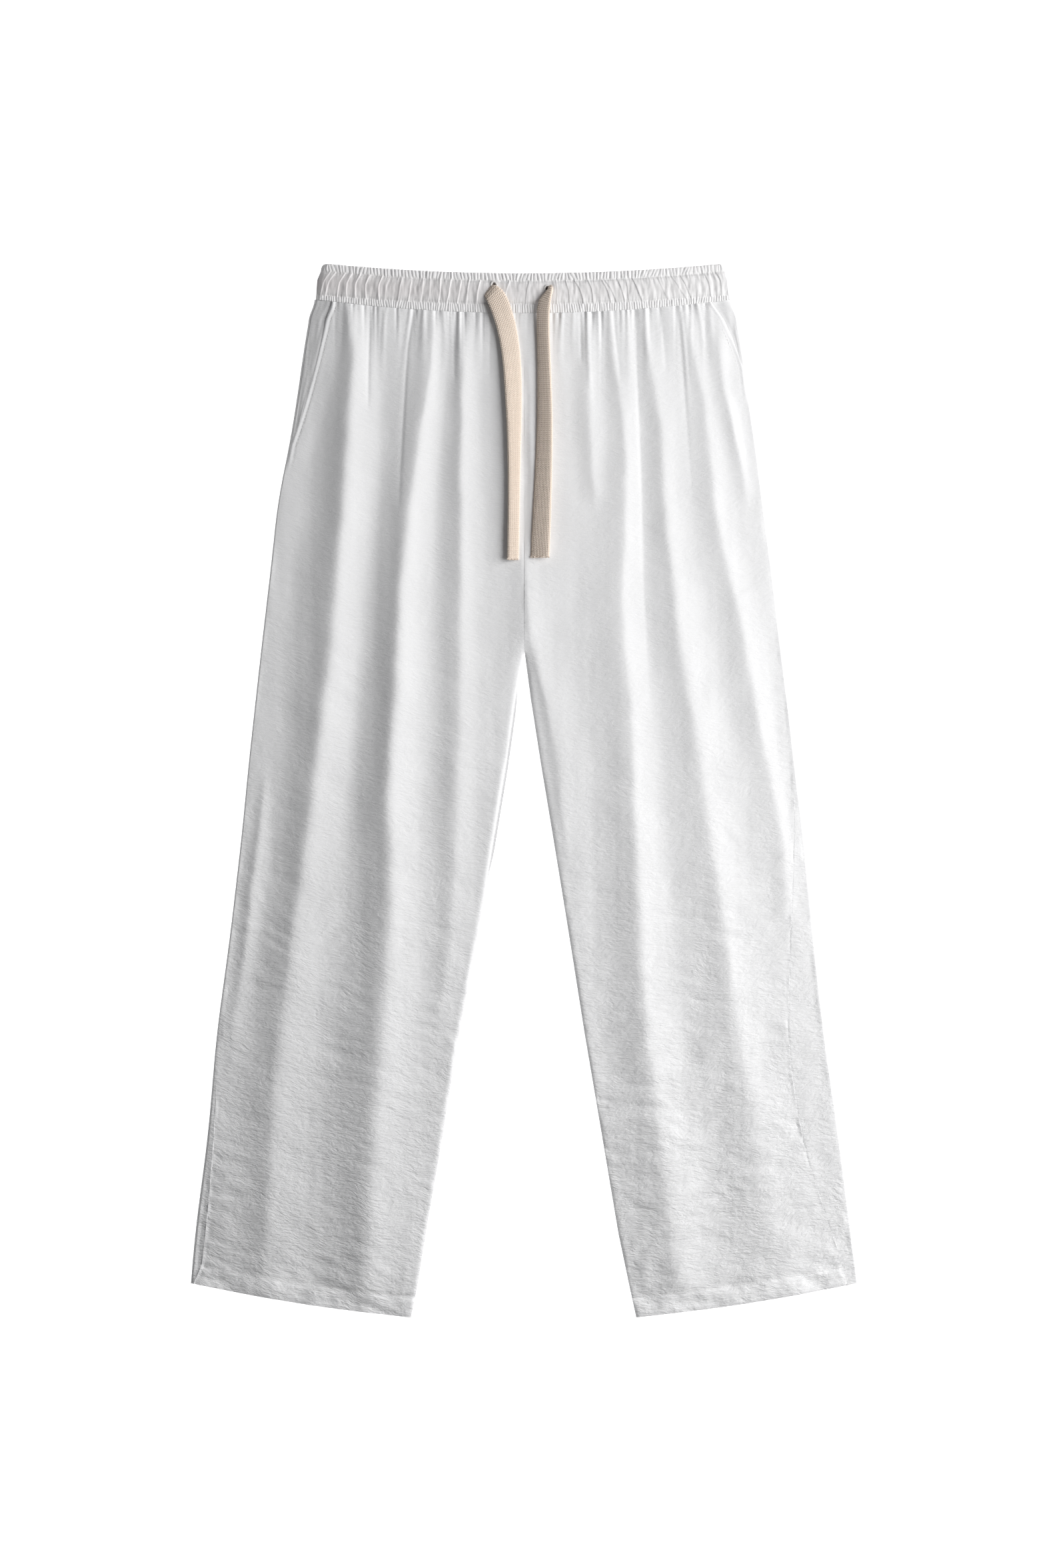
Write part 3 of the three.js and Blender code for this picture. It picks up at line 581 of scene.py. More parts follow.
def front_panel(side):
    """The front of a leg, from the centre seam or inseam to the side seam or the pocket."""
    sign = SIDES[side]
    shape = PANEL_SHAPE
    along = np.linspace(0, 1, shape[0])[:, None]
    edge = leg_place(side, 0, along)
    width = edge["outer"] - edge["inner"]
    seam = EDGE_RADIUS + side_roll(side, edge["outer_y"])
    opening = pocket_inset(side, edge["outer_y"])
    first = np.maximum(seam, opening) / width
    across = first + (1 - first) * np.linspace(0, 1, shape[1])[None, :]
    place = leg_place(side, across, along)
    from_side = (across - first) * width
    from_inner = (1 - across) * width
    from_hem = PANEL_LENGTH - place["down"] + 0 * across

    height = front_height(side, place)
    in_pocket = smooth(2 - (place["down"] - POCKETS[side]["length"] + POCKET_FADE) / POCKET_FADE)
    inside = from_side + (first * width - opening)
    raised = in_pocket * smooth((POCKET_LIFT_END - inside) / (POCKET_LIFT_END - POCKET_LIFT_FULL))
    height += POCKET_LIFT * raised
    height += POCKET_BEAD[side] * in_pocket * bell((from_side - 1.3) / 1.8)
    height -= POCKET_EDGE_DROP * in_pocket * (1 - smooth(from_side / 1.1))
    height -= 0.75 * POCKET_BEAD[side] * in_pocket * bell((from_side - 4.4) / 1.3)

    hem = smooth((HEM_DEPTH + 0.8 - from_hem) / 1.6)
    uneven = np.clip(0.6 + 0.45 * noise(shape, 2, 5, 37 + sign), 0.1, 1.4)
    groove = HEM_GROOVE * uneven * bell((from_hem - HEM_DEPTH - STITCH_BELOW) / 3.2)
    height += HEM_RAISE * hem * smooth(from_side / 6) - groove
    pucker = noise(shape, 1.5, 6, 31 + sign) + 0.6 * noise(shape, 1.2, 2.6, 33 + sign)
    crumple = HEM_PUCKER * pucker * bell((from_hem - 0.6 * HEM_DEPTH) / 20)
    near_hem = smooth((CRUMPLE_REACH - from_hem) / 80)
    crumple += HEM_CRUMPLE * noise(shape, 2.1, 6, 35 + sign) * near_hem
    height += crumple * (0.1 + 0.9 * smooth(from_side / 6))

    calm_edge = smooth(from_side / 3) * smooth(from_inner / 3) * smooth(from_hem / 3 + 0.3)
    height += calm_edge * CREPE[side].at(place["out"], place["down"])
    inner_drop = 0.03 + 0.97 * (place["y"] < CROTCH_Y)
    height -= RIM_DROP * (1 - smooth(from_inner / RIM_REACH)) * inner_drop
    lift = seam_lift(side, edge["outer_y"])
    height += lift * (1 + 1.1 * (1 - np.exp(-from_side / SEAM_FLANK)))
    height -= RIM_DROP * (1 - smooth(from_hem / RIM_REACH))
    height -= WAIST_DIP * (0.4 + 0.6 * uneven) * (1 - smooth(place["down"] / 3))

    shown = np.stack([sign * place["out"], place["y"], height], axis=2)
    coarse = np.s_[::HIDDEN_STEP, ::HIDDEN_STEP]
    wall = (WALL - (WALL - POCKET_WALL) * raised)[coarse]
    hidden = shown[coarse].copy()
    hidden[..., 2] = np.maximum(lowest_near(height, HIDDEN_STEP // 2)[coarse] - wall, FLOOR_CLEAR)
    uv = cloth_uv(side, place["out"], place["down"] + 0 * across)
    # Painted light: the turned hem band is coloured lighter, more where its puckers stand up.
    values = {"crinkle": wrinkle_strength(place["down"]) + 0 * across,
              "painted_hem_light": hem * np.clip(0.75 + 0.25 * pucker, 0, 1)}
    piece = wall_piece(f"cloth_front_{side}", shown, hidden, side == "left", uv, values)
    piece.data.set_sharp_from_angle(angle=FRONT_SHARP)
    keep_rim_sharp(piece.data, np.arange(height.size).reshape(shape))
    return piece


# Rows and columns of the back panel: its strip in front, the turn at the side, the flat part
BACK_ROWS, BACK_STRIP, BACK_TURN, BACK_FLAT = 240, 16, 8, 64
TUCK_WIDTH, TUCK_DEPTH, TUCK_CLEAR = 3.4, 1.3, 0.3
RIGHT_PEEK = 2.6  # of the back beside the wearer's-right inseam
HOLLOW_LIMIT = 0.9


def back_panel(side):
    """The back lies flat, turns over at the side and comes round to the side seam in front."""
    sign = SIDES[side]

    def skin(rows, strip, turn, flat, depth):
        """Points of the skin that lies depth inside the outside of the cloth."""
        along = np.linspace(0, 1, rows + 1)[:, None]
        edge = leg_place(side, 0, along)
        width = edge["outer"] - edge["inner"]
        roll = side_roll(side, edge["outer_y"])
        part = np.linspace(0, 1, strip)[None, :-1]
        strip_in = EDGE_RADIUS + roll * (1 - part)
        strip_in = np.concatenate([strip_in[:, :1] + TUCK_WIDTH, strip_in], axis=1)
        angle = np.linspace(0, np.pi, turn + 1)[None, :]
        radius = EDGE_RADIUS - depth
        turn_in = EDGE_RADIUS - radius * np.sin(angle) + 0 * along
        inner_y = edge["inner_y"]
        peek = RIGHT_PEEK * smooth((inner_y + 90) / 25) * smooth((96 - inner_y) / 20)
        end = width + (peek if side == "right" else 0)
        flat_in = EDGE_RADIUS + (end - EDGE_RADIUS) * np.linspace(0, 1, flat + 1)[None, 1:]
        across = np.concatenate([strip_in, turn_in, flat_in], axis=1) / width
        place = leg_place(side, across, along)
        top = front_height(side, place) - depth
        top[:, :1] = np.maximum(top[:, :1] - TUCK_DEPTH, TUCK_CLEAR)
        turned = np.concatenate([
            top[:, :strip],
            EDGE_RADIUS + radius * np.cos(angle) + 0 * along,
            depth + np.zeros((rows + 1, flat)),
        ], axis=1)
        return place, turned, across * width

    place, height, inward = skin(BACK_ROWS, BACK_STRIP, BACK_TURN, BACK_FLAT, 0)
    shape = height.shape
    small = CREPE[side].at(place["out"], place["down"])
    creases = Texture(40, 7, 71 + sign).at(place["out"], place["down"])
    hollows = np.maximum(0, 0.45 + 0.5 * creases + small)
    gathers = waist_gathers(side, place["out"], place["y"])
    under = np.arange(shape[1]) >= BACK_STRIP + BACK_TURN + 1
    from_hem = PANEL_LENGTH - place["down"] + 0 * height
    groove = 0.5 * bell((from_hem - HEM_DEPTH) / 1.3)
    edge_calm = smooth((inward - EDGE_RADIUS) / 6) * smooth(from_hem / 4)
    hollows = np.clip(hollows + 0.5 * gathers, 0, HOLLOW_LIMIT)
    height = np.where(under, edge_calm * hollows + groove, height)
    strip = np.arange(shape[1]) < BACK_STRIP
    from_seam = EDGE_RADIUS + side_roll(side, place["outer_y"]) - inward
    on_strip = small * smooth((inward - EDGE_RADIUS) / 4)
    lift = seam_lift(side, place["outer_y"])
    from_turn = np.clip((inward - EDGE_RADIUS) / (from_seam + inward - EDGE_RADIUS + 1e-6), 0, 1)
    on_strip = on_strip + lift * from_turn + SEAM_STEP[side] * smooth(lift) * (from_seam > -0.01)
    height = height + np.where(strip, on_strip, 0)
    shown = np.stack([sign * place["out"], place["y"], height], axis=2)

    hidden_place, hidden_height, _ = skin(
        BACK_ROWS // 8, BACK_STRIP // 4, BACK_TURN // 4, BACK_FLAT // 4, WALL)
    hidden = np.stack([sign * hidden_place["out"], hidden_place["y"], hidden_height], axis=2)
    uv = cloth_uv(side, place["out"], place["down"] + 0 * height)
    values = {"crinkle": wrinkle_strength(place["down"]) + 0 * height}
    piece = wall_piece(f"cloth_back_{side}", shown, hidden, side == "right", uv, values)
    piece.data.set_sharp_from_angle(angle=BACK_SHARP)
    return piece


FACING_SHAPE = (161, 25)


def pocket_facing(side):
    """The strip of cloth seen between the pocket's opening and the side, tucked under the
    front panel."""
    sign = SIDES[side]
    shape = FACING_SHAPE
    length = POCKETS[side]["length"] - 2.5
    along = np.linspace(0, length / PANEL_LENGTH, shape[0])[:, None]
    edge = leg_place(side, 0, along)
    start = EDGE_RADIUS
    end = np.maximum(pocket_inset(side, edge["outer_y"]), start) + FACING_UNDER
    across = (start + (end - start) * np.linspace(0, 1, shape[1])[None, :]) / edge["outer"]
    place = leg_place(side, across, along)
    from_side = across * edge["outer"] - start
    under = smooth((from_side - (end - start - FACING_UNDER) - 1) / 4)
    height = LAID_HEIGHT + 0.06 + FACING_SLOPE[side] * from_side / 18 * (1 - under) - 0.75 * under
    height += 0.22 * noise(shape, 12, 1.3, 81 + sign) * smooth(from_side / 3)
    shown = np.stack([sign * place["out"], place["y"], height], axis=2)
    hidden = shown[::HIDDEN_STEP, ::HIDDEN_STEP] - [0, 0, WALL]
    uv = cloth_uv(side, place["out"], place["down"] + 0 * across)
    # Painted shade: the facing's colour is darkened all over, and more towards the pocket's
    # opening, where the raised edge shades it.
    from_opening = (end - FACING_UNDER - start - from_side) / 7
    all_over, at_opening = FACING_PAINTED_SHADE[side]
    painted_facing_shade = all_over + at_opening * np.exp(-np.clip(from_opening, 0, 9))
    values = {"crinkle": 0.4 + 0 * height, "painted_facing_shade": painted_facing_shade + 0 * height}
    return wall_piece(f"cloth_facing_{side}", shown, hidden, side == "left", uv, values)


# The waistband's lines: y at the middle, rise to the sides, and half width
TOP_LINE = (490, 9.5, HEADER_HALF)
HEADER_LINE = (482.4, 9.5, HEADER_HALF)
CASING_LINE = (460.8, 9, WAIST_HALF)
BAND_COLUMNS = {"front": 1120, "back": 800}
BAND_ROWS = {"header": 8, "casing": 20, "rib": 8}
BAND_UNDERSIDE = {"front": 2.9, "back": 2.6}
BAND_END = 2.9  # height of the front's two ends
BAND_HALF = 196
HIDDEN_BAND = np.s_[::4, ::16]


def band_y(x, line):
    """y at x on one of the waistband's lines."""
    middle, rise, half = line
    return middle + rise * (x / half) ** 2


def ridges(u, v, count, seed):
    """Gathered ridges with narrow valleys, 0 to 1, uneven in width, height and lean. v runs from
    -0.5 to 0.5 across the gathered strip."""
    random = np.random.default_rng(seed)
    drift = np.interp(u, np.linspace(0, 1, 150), random.normal(0, 0.13, 150))
    lean = np.interp(u, np.linspace(0, 1, 40), random.normal(0, 0.55, 40))
    size = np.interp(u, np.linspace(0, 1, 200), random.uniform(0.65, 1.1, 200))
    return size * np.abs(np.sin(np.pi * (u * count + drift + lean * v))) ** 0.6


def header_ridges(u, v):
    """The ruffles of the header row, 0 to 1."""
    return ridges(u, v - 0.5, HEADER_RIDGES, 5)


def waistband_relief(u, v, rise):
    """Relief of the waistband over its base at u across and v down its three rows, 0 to 3."""
    header = smooth((1 - v) / 0.12)
    rib = smooth((v - 2) / 0.12)
    header_folds = 0.85 * header_ridges(u, v) * (1 - 0.5 * smooth((u - 0.7) / 0.3))
    rib_folds = 0.65 * ridges(u, v - 2.5, RIB_BAND_RIDGES, 7)
    share = np.clip(v - 1, 0, 1)
    top, foot = (CASING_FOLDS[name][:, None, None] for name in ("top", "foot"))
    fold_at = top * (1 - share) + foot * share
    x = (2 * u - 1) * (193.5 * (1 - share) + WAIST_HALF * share)
    middle = np.sin(np.pi * share)
    bend = 1.3 * middle * np.sin(17 * u)
    offset = x + bend - fold_at
    sharp = np.random.default_rng(9).uniform(0.5, 1.15, len(fold_at))[:, None, None]
    sharp = sharp * np.where(fold_at > 0, 0.65, 1)
    lean_in = np.where(fold_at < 0, -offset, offset)
    lips = sharp * np.where(lean_in > 0, np.exp(-lean_in / 2.6), np.exp(lean_in / 0.45))
    folds = lips.max(axis=0)
    belly = 1.7 * np.clip(middle, 0, 1) ** 0.5
    small = 0.4 * ridges(u, share - 0.5, 150, 13) * (1 - np.clip(middle, 0, 1) ** 0.5)
    drawn = noise(folds.shape, 5, 4, 19) + 0.6 * noise(folds.shape, 3, 12, 20)
    casing = 0.2 + belly + folds * (1 - 0.25 * middle) + small + 0.13 * drawn
    relief = header * header_folds + rib * rib_folds + (1 - header) * (1 - rib) * casing
    stitched = 0.7 * (bell((v - 1) / 0.11) + bell((v - 2) / 0.11)) + 0.7 * bell((v - 3) / 0.25)
    return rise * (relief - stitched)


def waistband_grid(columns, rows):
    """u, v, x and y of a grid over the waistband's three rows."""
    v = np.concatenate([
        np.linspace(0, 1, rows["header"] + 1),
        np.linspace(1, 2, rows["casing"] + 1)[1:],
        np.linspace(2, 3, rows["rib"] + 1)[1:],
    ])[:, None]
    u = np.linspace(0, 1, columns + 1)[None, :]
    half = np.interp(v, [0, 1, 1.4, 2, 3], [193, 193, 196.5, 197.5, WAIST_HALF])
    reach = np.abs(2 * u - 1)
    corner = 1 - np.sqrt(1 - np.clip(1 - v, 0, 1) ** 2)
    x = np.sign(2 * u - 1) * (reach * half - 6 * corner * smooth((reach - 0.94) / 0.06))
    lines = [band_y(x, line) for line in (TOP_LINE, HEADER_LINE, CASING_LINE)]
    lines.append(waist_y(x) + 0 * v)
    y = sum(line * np.clip(1 - np.abs(v - k), 0, 1) for k, line in enumerate(lines))
    return u + 0 * v, v + 0 * u, x, y


def eyelet_field(x, y):
    """Distance from the nearest eyelet's middle, in half widths of its hole."""
    far = [np.hypot((x - ex) / HOLE_HALF_WIDTH, (y - ey) / HOLE_HALF_HEIGHT)
           for ex, ey in EYELETS.values()]
    return np.minimum(*far)


def band_piece(part, x, y, height, casing, hole):
    """The waistband's front or back: its gathered skin and a plain one behind it."""
    shown = np.stack([x, y, height], axis=2)
    hidden = np.stack([x, y, 0 * x + BAND_UNDERSIDE[part]], axis=2)[HIDDEN_BAND]
    uv = np.stack([x, -y], axis=2) * MM
    # The casing's tint, partly the cloth's own colour and partly painted shade, and the eyelet
    # holes' painted shadow.
    values = {"casing": casing, "hole": hole}
    return wall_piece(f"cloth_waistband_{part}", shown, hidden, part == "back", uv, values)


def at_casing(v):
    """1 on the casing's middle and 0 on the rows beside it."""
    return bell((v - 1.5) / 0.9)


def band_ends(u):
    """0 at the waistband's two ends, 1 from 5 mm inwards."""
    return smooth((1 - np.abs(2 * u - 1)) * BAND_HALF / 5)


def waistband_front():
    """The gathered front of the waistband, flat about its two eyelet holes."""
    u, v, x, y = waistband_grid(BAND_COLUMNS["front"], BAND_ROWS)
    base = np.interp(v, [0, 0.15, 1, 1.2, 1.8, 2, 3], [4.2, 5, 5, 5.6, 5.6, 5, 5])
    at_eyelet = eyelet_field(x, y)
    flat = smooth((at_eyelet - 2.2) / 2.4)
    height = base + waistband_relief(u, v, 1) * (0.25 + 0.75 * flat) + 0.6 * (1 - flat)
    sunk = EYELET_FLOOR + (height - EYELET_FLOOR) * smooth((at_eyelet - 0.75) / 0.5)
    height = np.where(at_eyelet < 1.6, sunk, height)
    height = BAND_END + (height - BAND_END) * (0.25 + 0.75 * band_ends(u))
    height += 0.1 * noise(height.shape, 2, 3, 15)
    y = y + 0.06 * (header_ridges(u, v) - 0.5) * smooth(1 - 4 * v)
    # Painted shade: the casing's tint grows towards its left end, away from the key light; the
    # eyelet holes get a painted shadow.
    return band_piece("front", x, y, height, at_casing(v) * (1.6 - 1.55 * u),
                      1 - smooth((at_eyelet - 0.7) / 0.4))


def waistband_back():
    """The back layer rests flat, so its gathers are hollows that go up from the surface."""
    u, v, x, y = waistband_grid(BAND_COLUMNS["back"], BAND_ROWS)
    depth = 1.9 - np.clip(waistband_relief(u, v, 0.62) + 0.75, 0, 1.9)
    edge = smooth(v / 0.2) * smooth((3 - v) / 0.1)
    return band_piece("back", x, y, depth * band_ends(u) * edge, at_casing(v), 0 * x)


# The braided drawstring

def cord_path(side, count):
    """Points of a smooth line through the cord's table, with width and roll at each."""
    route = CORDS[side]
    stations = np.linspace(0, 1, len(route["x"]))
    fine = np.linspace(0, 1, count)

    def soft(column):
        dense = np.interp(fine, stations, column)
        reach = max(3, count // 60)
        kernel = np.hanning(2 * reach + 1)
        padded = np.concatenate([2 * dense[0] - dense[reach:0:-1], dense,
                                 2 * dense[-1] - dense[-2:-reach - 2:-1]])
        return np.convolve(padded, kernel / kernel.sum(), "valid")

    return {name: soft(column) for name, column in route.items()}


BRAID_COLUMNS, BRAID_PITCH, BRAID_RELIEF = 26, 1.9, 0.62


def braid_section(around):
    """Even points round the flat cord's rounded section, with outward directions and the share of
    the way round at each."""
    def squarer(wave):
        return np.sign(wave) * np.abs(wave) ** 0.6

    angle = np.linspace(0, 2 * np.pi, 6001)
    dense = np.stack([squarer(np.cos(angle)) * CORD_WIDTH,
                      squarer(np.sin(angle)) * CORD_THICKNESS]) / 2
    gone = np.concatenate([[0], np.cumsum(np.hypot(*np.diff(dense, axis=1)))])
    share = np.arange(around) / around
    section = np.stack([np.interp(share * gone[-1], gone, row) for row in dense], axis=1)
    ahead = np.roll(section, -1, axis=0) - np.roll(section, 1, axis=0)
    outward = np.stack([ahead[:, 1], -ahead[:, 0]], axis=1) / np.linalg.norm(ahead, axis=1)[:, None]
    return section, outward, share[None, :]


def drawstring(side):
    """A flat herringbone braid: rings round the path, with the plaits raised on both faces."""
    rings, around = 760, 104
    path = cord_path(side, rings)
    line = np.stack([path["x"], path["y"], path["z"]], axis=1)
    tangent = np.gradient(line, axis=0)
    tangent /= np.linalg.norm(tangent, axis=1)[:, None]
    run = np.concatenate([[0], np.cumsum(np.linalg.norm(np.diff(line, axis=0), axis=1))])
    sideways = np.cross([0, 0, 1], tangent)
    sideways /= np.linalg.norm(sideways, axis=1)[:, None]
    upright = np.cross(tangent, sideways)
    turn = np.radians(path["roll"])[:, None]
    wide = np.cos(turn) * sideways - np.sin(turn) * upright
    thick = np.cross(tangent, wide)

    section, outward, round_it = braid_section(around)
    column = round_it * BRAID_COLUMNS
    part = column % 1
    slant = np.where(column.astype(int) % 2 == 0, part, 1 - part)
    yarn = np.abs(np.sin(np.pi * (run[:, None] / BRAID_PITCH + 0.75 * slant))) ** 0.8
    plait = np.abs(np.sin(np.pi * part)) ** 0.35
    relief = BRAID_RELIEF * (yarn * plait - 0.5)
    pinch = path["width"][:, None] / CORD_WIDTH
    fuller = 1 + 0.4 * smooth((0.6 - pinch) / 0.4)
    a = section[None, :, 0] * pinch + relief * outward[None, :, 0]
    b = section[None, :, 1] * fuller + relief * outward[None, :, 1]
    points = line[:, None, :] + a[..., None] * wide[:, None, :] + b[..., None] * thick[:, None, :]
    numbers = np.arange(rings * around).reshape(rings, around)
    closed = np.concatenate([numbers, numbers[:, :1]], axis=1)
    faces = grid_faces(closed, False)
    faces += [numbers[0, ::-1].tolist(), numbers[-1].tolist()]
    points = points.reshape(-1, 3)
    uv = np.stack([np.broadcast_to(round_it * 0.04, numbers.shape),
                   np.broadcast_to(run[:, None] * MM, numbers.shape)], axis=2).reshape(-1, 2)
    # Painted shade: how deep each point lies between the plaits, for the shader to darken it.
    valley = np.broadcast_to(1 - yarn * plait, numbers.shape)
    piece = finish_mesh(f"drawstring_braid_{side}", points * MM, faces, uv, {"valley": valley})
    return piece, line


# Node trees, for both shaders and geometry

class Wire:
    """A node's output that can be used in Python sums; each sum adds a Math node."""

    def __init__(self, nodes, socket):
        self.nodes = nodes
        self.socket = socket

    def math(self, operation, *others):
        inputs = dict(enumerate((self, *others)))
        return self.nodes.get("ShaderNodeMath", inputs, operation=operation)

    def __add__(self, other): return self.math("ADD", other)
    def __sub__(self, other): return self.math("SUBTRACT", other)
    def __mul__(self, other): return self.math("MULTIPLY", other)
    def __truediv__(self, other): return self.math("DIVIDE", other)
    def __pow__(self, other): return self.math("POWER", other)
    def __neg__(self): return self.math("MULTIPLY", -1)
    def __abs__(self): return self.math("ABSOLUTE")
    def __rsub__(self, other): return (-self) + other
    __radd__ = __add__
    __rmul__ = __mul__


class Nodes:
    """Adds nodes to a tree, with their settings first and then their inputs."""

    def __init__(self, tree):
        self.tree = tree
        tree.nodes.clear()

    def add(self, kind, inputs=None, **settings):
        node = self.tree.nodes.new(kind)
        for name, value in settings.items():
            setattr(node, name, value)
        for key, value in (inputs or {}).items():
            if isinstance(value, Wire):
                self.tree.links.new(value.socket, node.inputs[key])
            else:
                node.inputs[key].default_value = value
        return node

    def out(self, node, name=0):
        return Wire(self, node.outputs[name])

    def get(self, kind, inputs=None, output=0, **settings):
        return self.out(self.add(kind, inputs, **settings), output)


def attribute(nodes, name):
    return nodes.get("ShaderNodeAttribute", output="Fac", attribute_name=name)


def stretched_noise(nodes, vector, scale, detail, seed, roughness=0.5):
    """Noise on a vector that is scaled differently along each axis."""
    place = nodes.get("ShaderNodeMapping", {"Vector": vector, "Location": (seed, seed * 1.7, 0),
                                            "Scale": (*scale, 1)})
    return nodes.get("ShaderNodeTexNoise", {
        "Vector": place, "Scale": 1, "Detail": detail, "Roughness": roughness}, output="Fac")


def mixed_colour(nodes, factor, first, second):
    """One colour to another by a factor."""
    node = nodes.add("ShaderNodeMix", {"Factor": factor}, data_type="RGBA")
    for key, value in (("A", first), ("B", second)):
        socket = [s for s in node.inputs if s.name == key and s.type == "RGBA"][0]
        if isinstance(value, Wire):
            nodes.tree.links.new(value.socket, socket)
        else:
            socket.default_value = (*value, 1)
    return Wire(nodes, [s for s in node.outputs if s.type == "RGBA"][0])


def start_material(name):
    """A new material and its emptied node tree."""
    material = bpy.data.materials.new(name)
    material.use_nodes = True
    return material, Nodes(material.node_tree)


def end_material(nodes, height, distance, settings):
    """The shader with the given settings, and with the height as bump."""
    bump = nodes.get("ShaderNodeBump", {"Height": height, "Distance": distance, "Strength": 1},
                     output="Normal")
    shader = nodes.get("ShaderNodeBsdfPrincipled", {**settings, "Normal": bump})
    nodes.add("ShaderNodeOutputMaterial", {"Surface": shader})


def crinkled_cloth(name, bright, shade, sheen=0.25):
    """White crepe-like plain weave: fine threads, slubs and short crosswise wrinkles, with painted
    shade on the pocket facings and painted light on the turned hems.
    """
    material, nodes = start_material(name)
    uv = nodes.get("ShaderNodeUVMap", uv_map="cloth")
    crinkle = attribute(nodes, "crinkle")
    bend = nodes.get("ShaderNodeTexNoise", {"Vector": uv, "Scale": 26, "Detail": 3}, output="Color")
    moved = nodes.get("ShaderNodeVectorMath", {0: bend, 1: (-0.5, -0.5, -0.5)}, operation="ADD")
    moved = nodes.get("ShaderNodeVectorMath", {0: moved, "Scale": 0.018}, operation="SCALE")
    bent = nodes.get("ShaderNodeVectorMath", {0: uv, 1: moved}, operation="ADD")
    fine = stretched_noise(nodes, bent, (330, 850), 2, 3.1, 0.5)
    broad = stretched_noise(nodes, bent, (130, 330), 2, 7.7, 0.45)
    grain = stretched_noise(nodes, uv, (1500, 1500), 1, 9.3)
    slub = stretched_noise(nodes, uv, (60, 1500), 1, 1.3)
    cloud = stretched_noise(nodes, uv, (9, 6), 2, 5.9)
    split = nodes.add("ShaderNodeSeparateXYZ", {"Vector": uv})
    warp = (nodes.out(split, "X") * (2 * math.pi / 0.0005)).math("SINE")
    weft = (nodes.out(split, "Y") * (2 * math.pi / 0.00055)).math("SINE")
    weave = warp * weft
    height = crinkle * (fine * 0.5 + broad * 1.1) + weave * 0.015 + slub * 0.1 + grain * 0.12
    tone = cloud * 0.5 + slub * 0.3 + grain * 0.2
    colour = mixed_colour(nodes, tone, shade, bright)
    # Painted shade darkens the pocket facings, and painted light makes the turned hems lighter than
    # the cloth.
    for painted_light_or_shade, share in (("painted_facing_shade", 0.76), ("painted_hem_light", 1.09)):
        toned = tuple(share * c for c in bright)
        colour = mixed_colour(nodes, attribute(nodes, painted_light_or_shade), colour, toned)
    rough = 0.86 + slub * 0.1
    end_material(nodes, height, 0.0006, {
        "Base Color": colour, "Roughness": rough, "Sheen Weight": sheen,
        "Sheen Roughness": 0.6, "Specular IOR Level": 0.25})
    return material


def waistband_cloth(name, bright, shade, inner):
    """The same cloth drawn up on elastic, tinted where it lies in two layers over the elastic and
    more so to the left by painted shade, with a painted shadow in each eyelet hole.
    """
    material, nodes = start_material(name)
    uv = nodes.get("ShaderNodeUVMap", uv_map="cloth")
    casing = attribute(nodes, "casing")
    hole = attribute(nodes, "hole")
    lines = stretched_noise(nodes, uv, (420, 110), 3, 2.3, 0.6)
    slub = stretched_noise(nodes, uv, (60, 1500), 1, 4.3)
    cloud = stretched_noise(nodes, uv, (24, 30), 2, 8.9)
    tone = cloud * 0.6 + slub * 0.4
    colour = mixed_colour(nodes, tone, shade, bright)
    # The casing's tint: its own colour in two layers, deepened by painted shade towards the left.
    colour = mixed_colour(nodes, casing * 0.45, colour, inner)
    # Painted shadow: the eyelet holes are coloured near black.
    colour = mixed_colour(nodes, hole, colour, (0.16, 0.13, 0.12))
    height = lines * 0.5 + slub * 0.12
    end_material(nodes, height, 0.0005, {
        "Base Color": colour, "Roughness": 0.88 + slub * 0.08, "Sheen Weight": 0.2,
        "Sheen Roughness": 0.6, "Specular IOR Level": 0.25})
    return material


def braid_cotton(name, bright, gap_shade_colour):
    """Cream cotton yarn with painted shade between the plaits, and fine twisted fibres."""
    material, nodes = start_material(name)
    uv = nodes.get("ShaderNodeUVMap", uv_map="cloth")
    valley = attribute(nodes, "valley")
    fibre = stretched_noise(nodes, uv, (1100, 1600), 3, 6.1, 0.6)
    patch = stretched_noise(nodes, uv, (60, 30), 2, 2.9)
    worn = mixed_colour(nodes, patch, tuple(0.93 * c for c in bright), bright)
    # Painted shade: the colour turns towards the shade colour between the plaits.
    colour = mixed_colour(nodes, valley ** 1.1 * 0.85, worn, gap_shade_colour)
    end_material(nodes, fibre * 0.5, 0.0004, {
        "Base Color": colour, "Roughness": 0.82 + fibre * 0.12, "Sheen Weight": 0.35,
        "Sheen Roughness": 0.5, "Specular IOR Level": 0.2})
    return material


def sewing_thread(name, colour):
    """Polished sewing thread with its twist."""
    material, nodes = start_material(name)
    place = nodes.get("ShaderNodeTexCoord", output="Object")
    twist = stretched_noise(nodes, place, (1500, 1500), 1, 0.5)
    tone = mixed_colour(nodes, twist, tuple(0.9 * c for c in colour), colour)
    end_material(nodes, twist, 0.0002, {
        "Base Color": tone, "Roughness": 0.55 + twist * 0.15, "Sheen Weight": 0.2,
        "Specular IOR Level": 0.4})
    return material


# What repeats: stitches along seams and round eyelets, and the loose yarns of the cut ends

def tree_with_input(name, inputs):
    """A geometry tree with named inputs, its nodes, and the node that gives the inputs."""
    tree = bpy.data.node_groups.new(name, "GeometryNodeTree")
    tree.interface.new_socket("Geometry", in_out="INPUT", socket_type="NodeSocketGeometry")
    for label, kind in inputs:
        tree.interface.new_socket(label, in_out="INPUT", socket_type=kind)
    tree.interface.new_socket("Geometry", in_out="OUTPUT", socket_type="NodeSocketGeometry")
    nodes = Nodes(tree)
    return tree, nodes, nodes.add("NodeGroupInput")


def end_tree(nodes, geometry, material):
    """Sets the material on what the tree has made, and gives it out."""
    dressed = nodes.get("GeometryNodeSetMaterial", {"Geometry": geometry, "Material": material})
    nodes.add("NodeGroupOutput", {"Geometry": dressed})


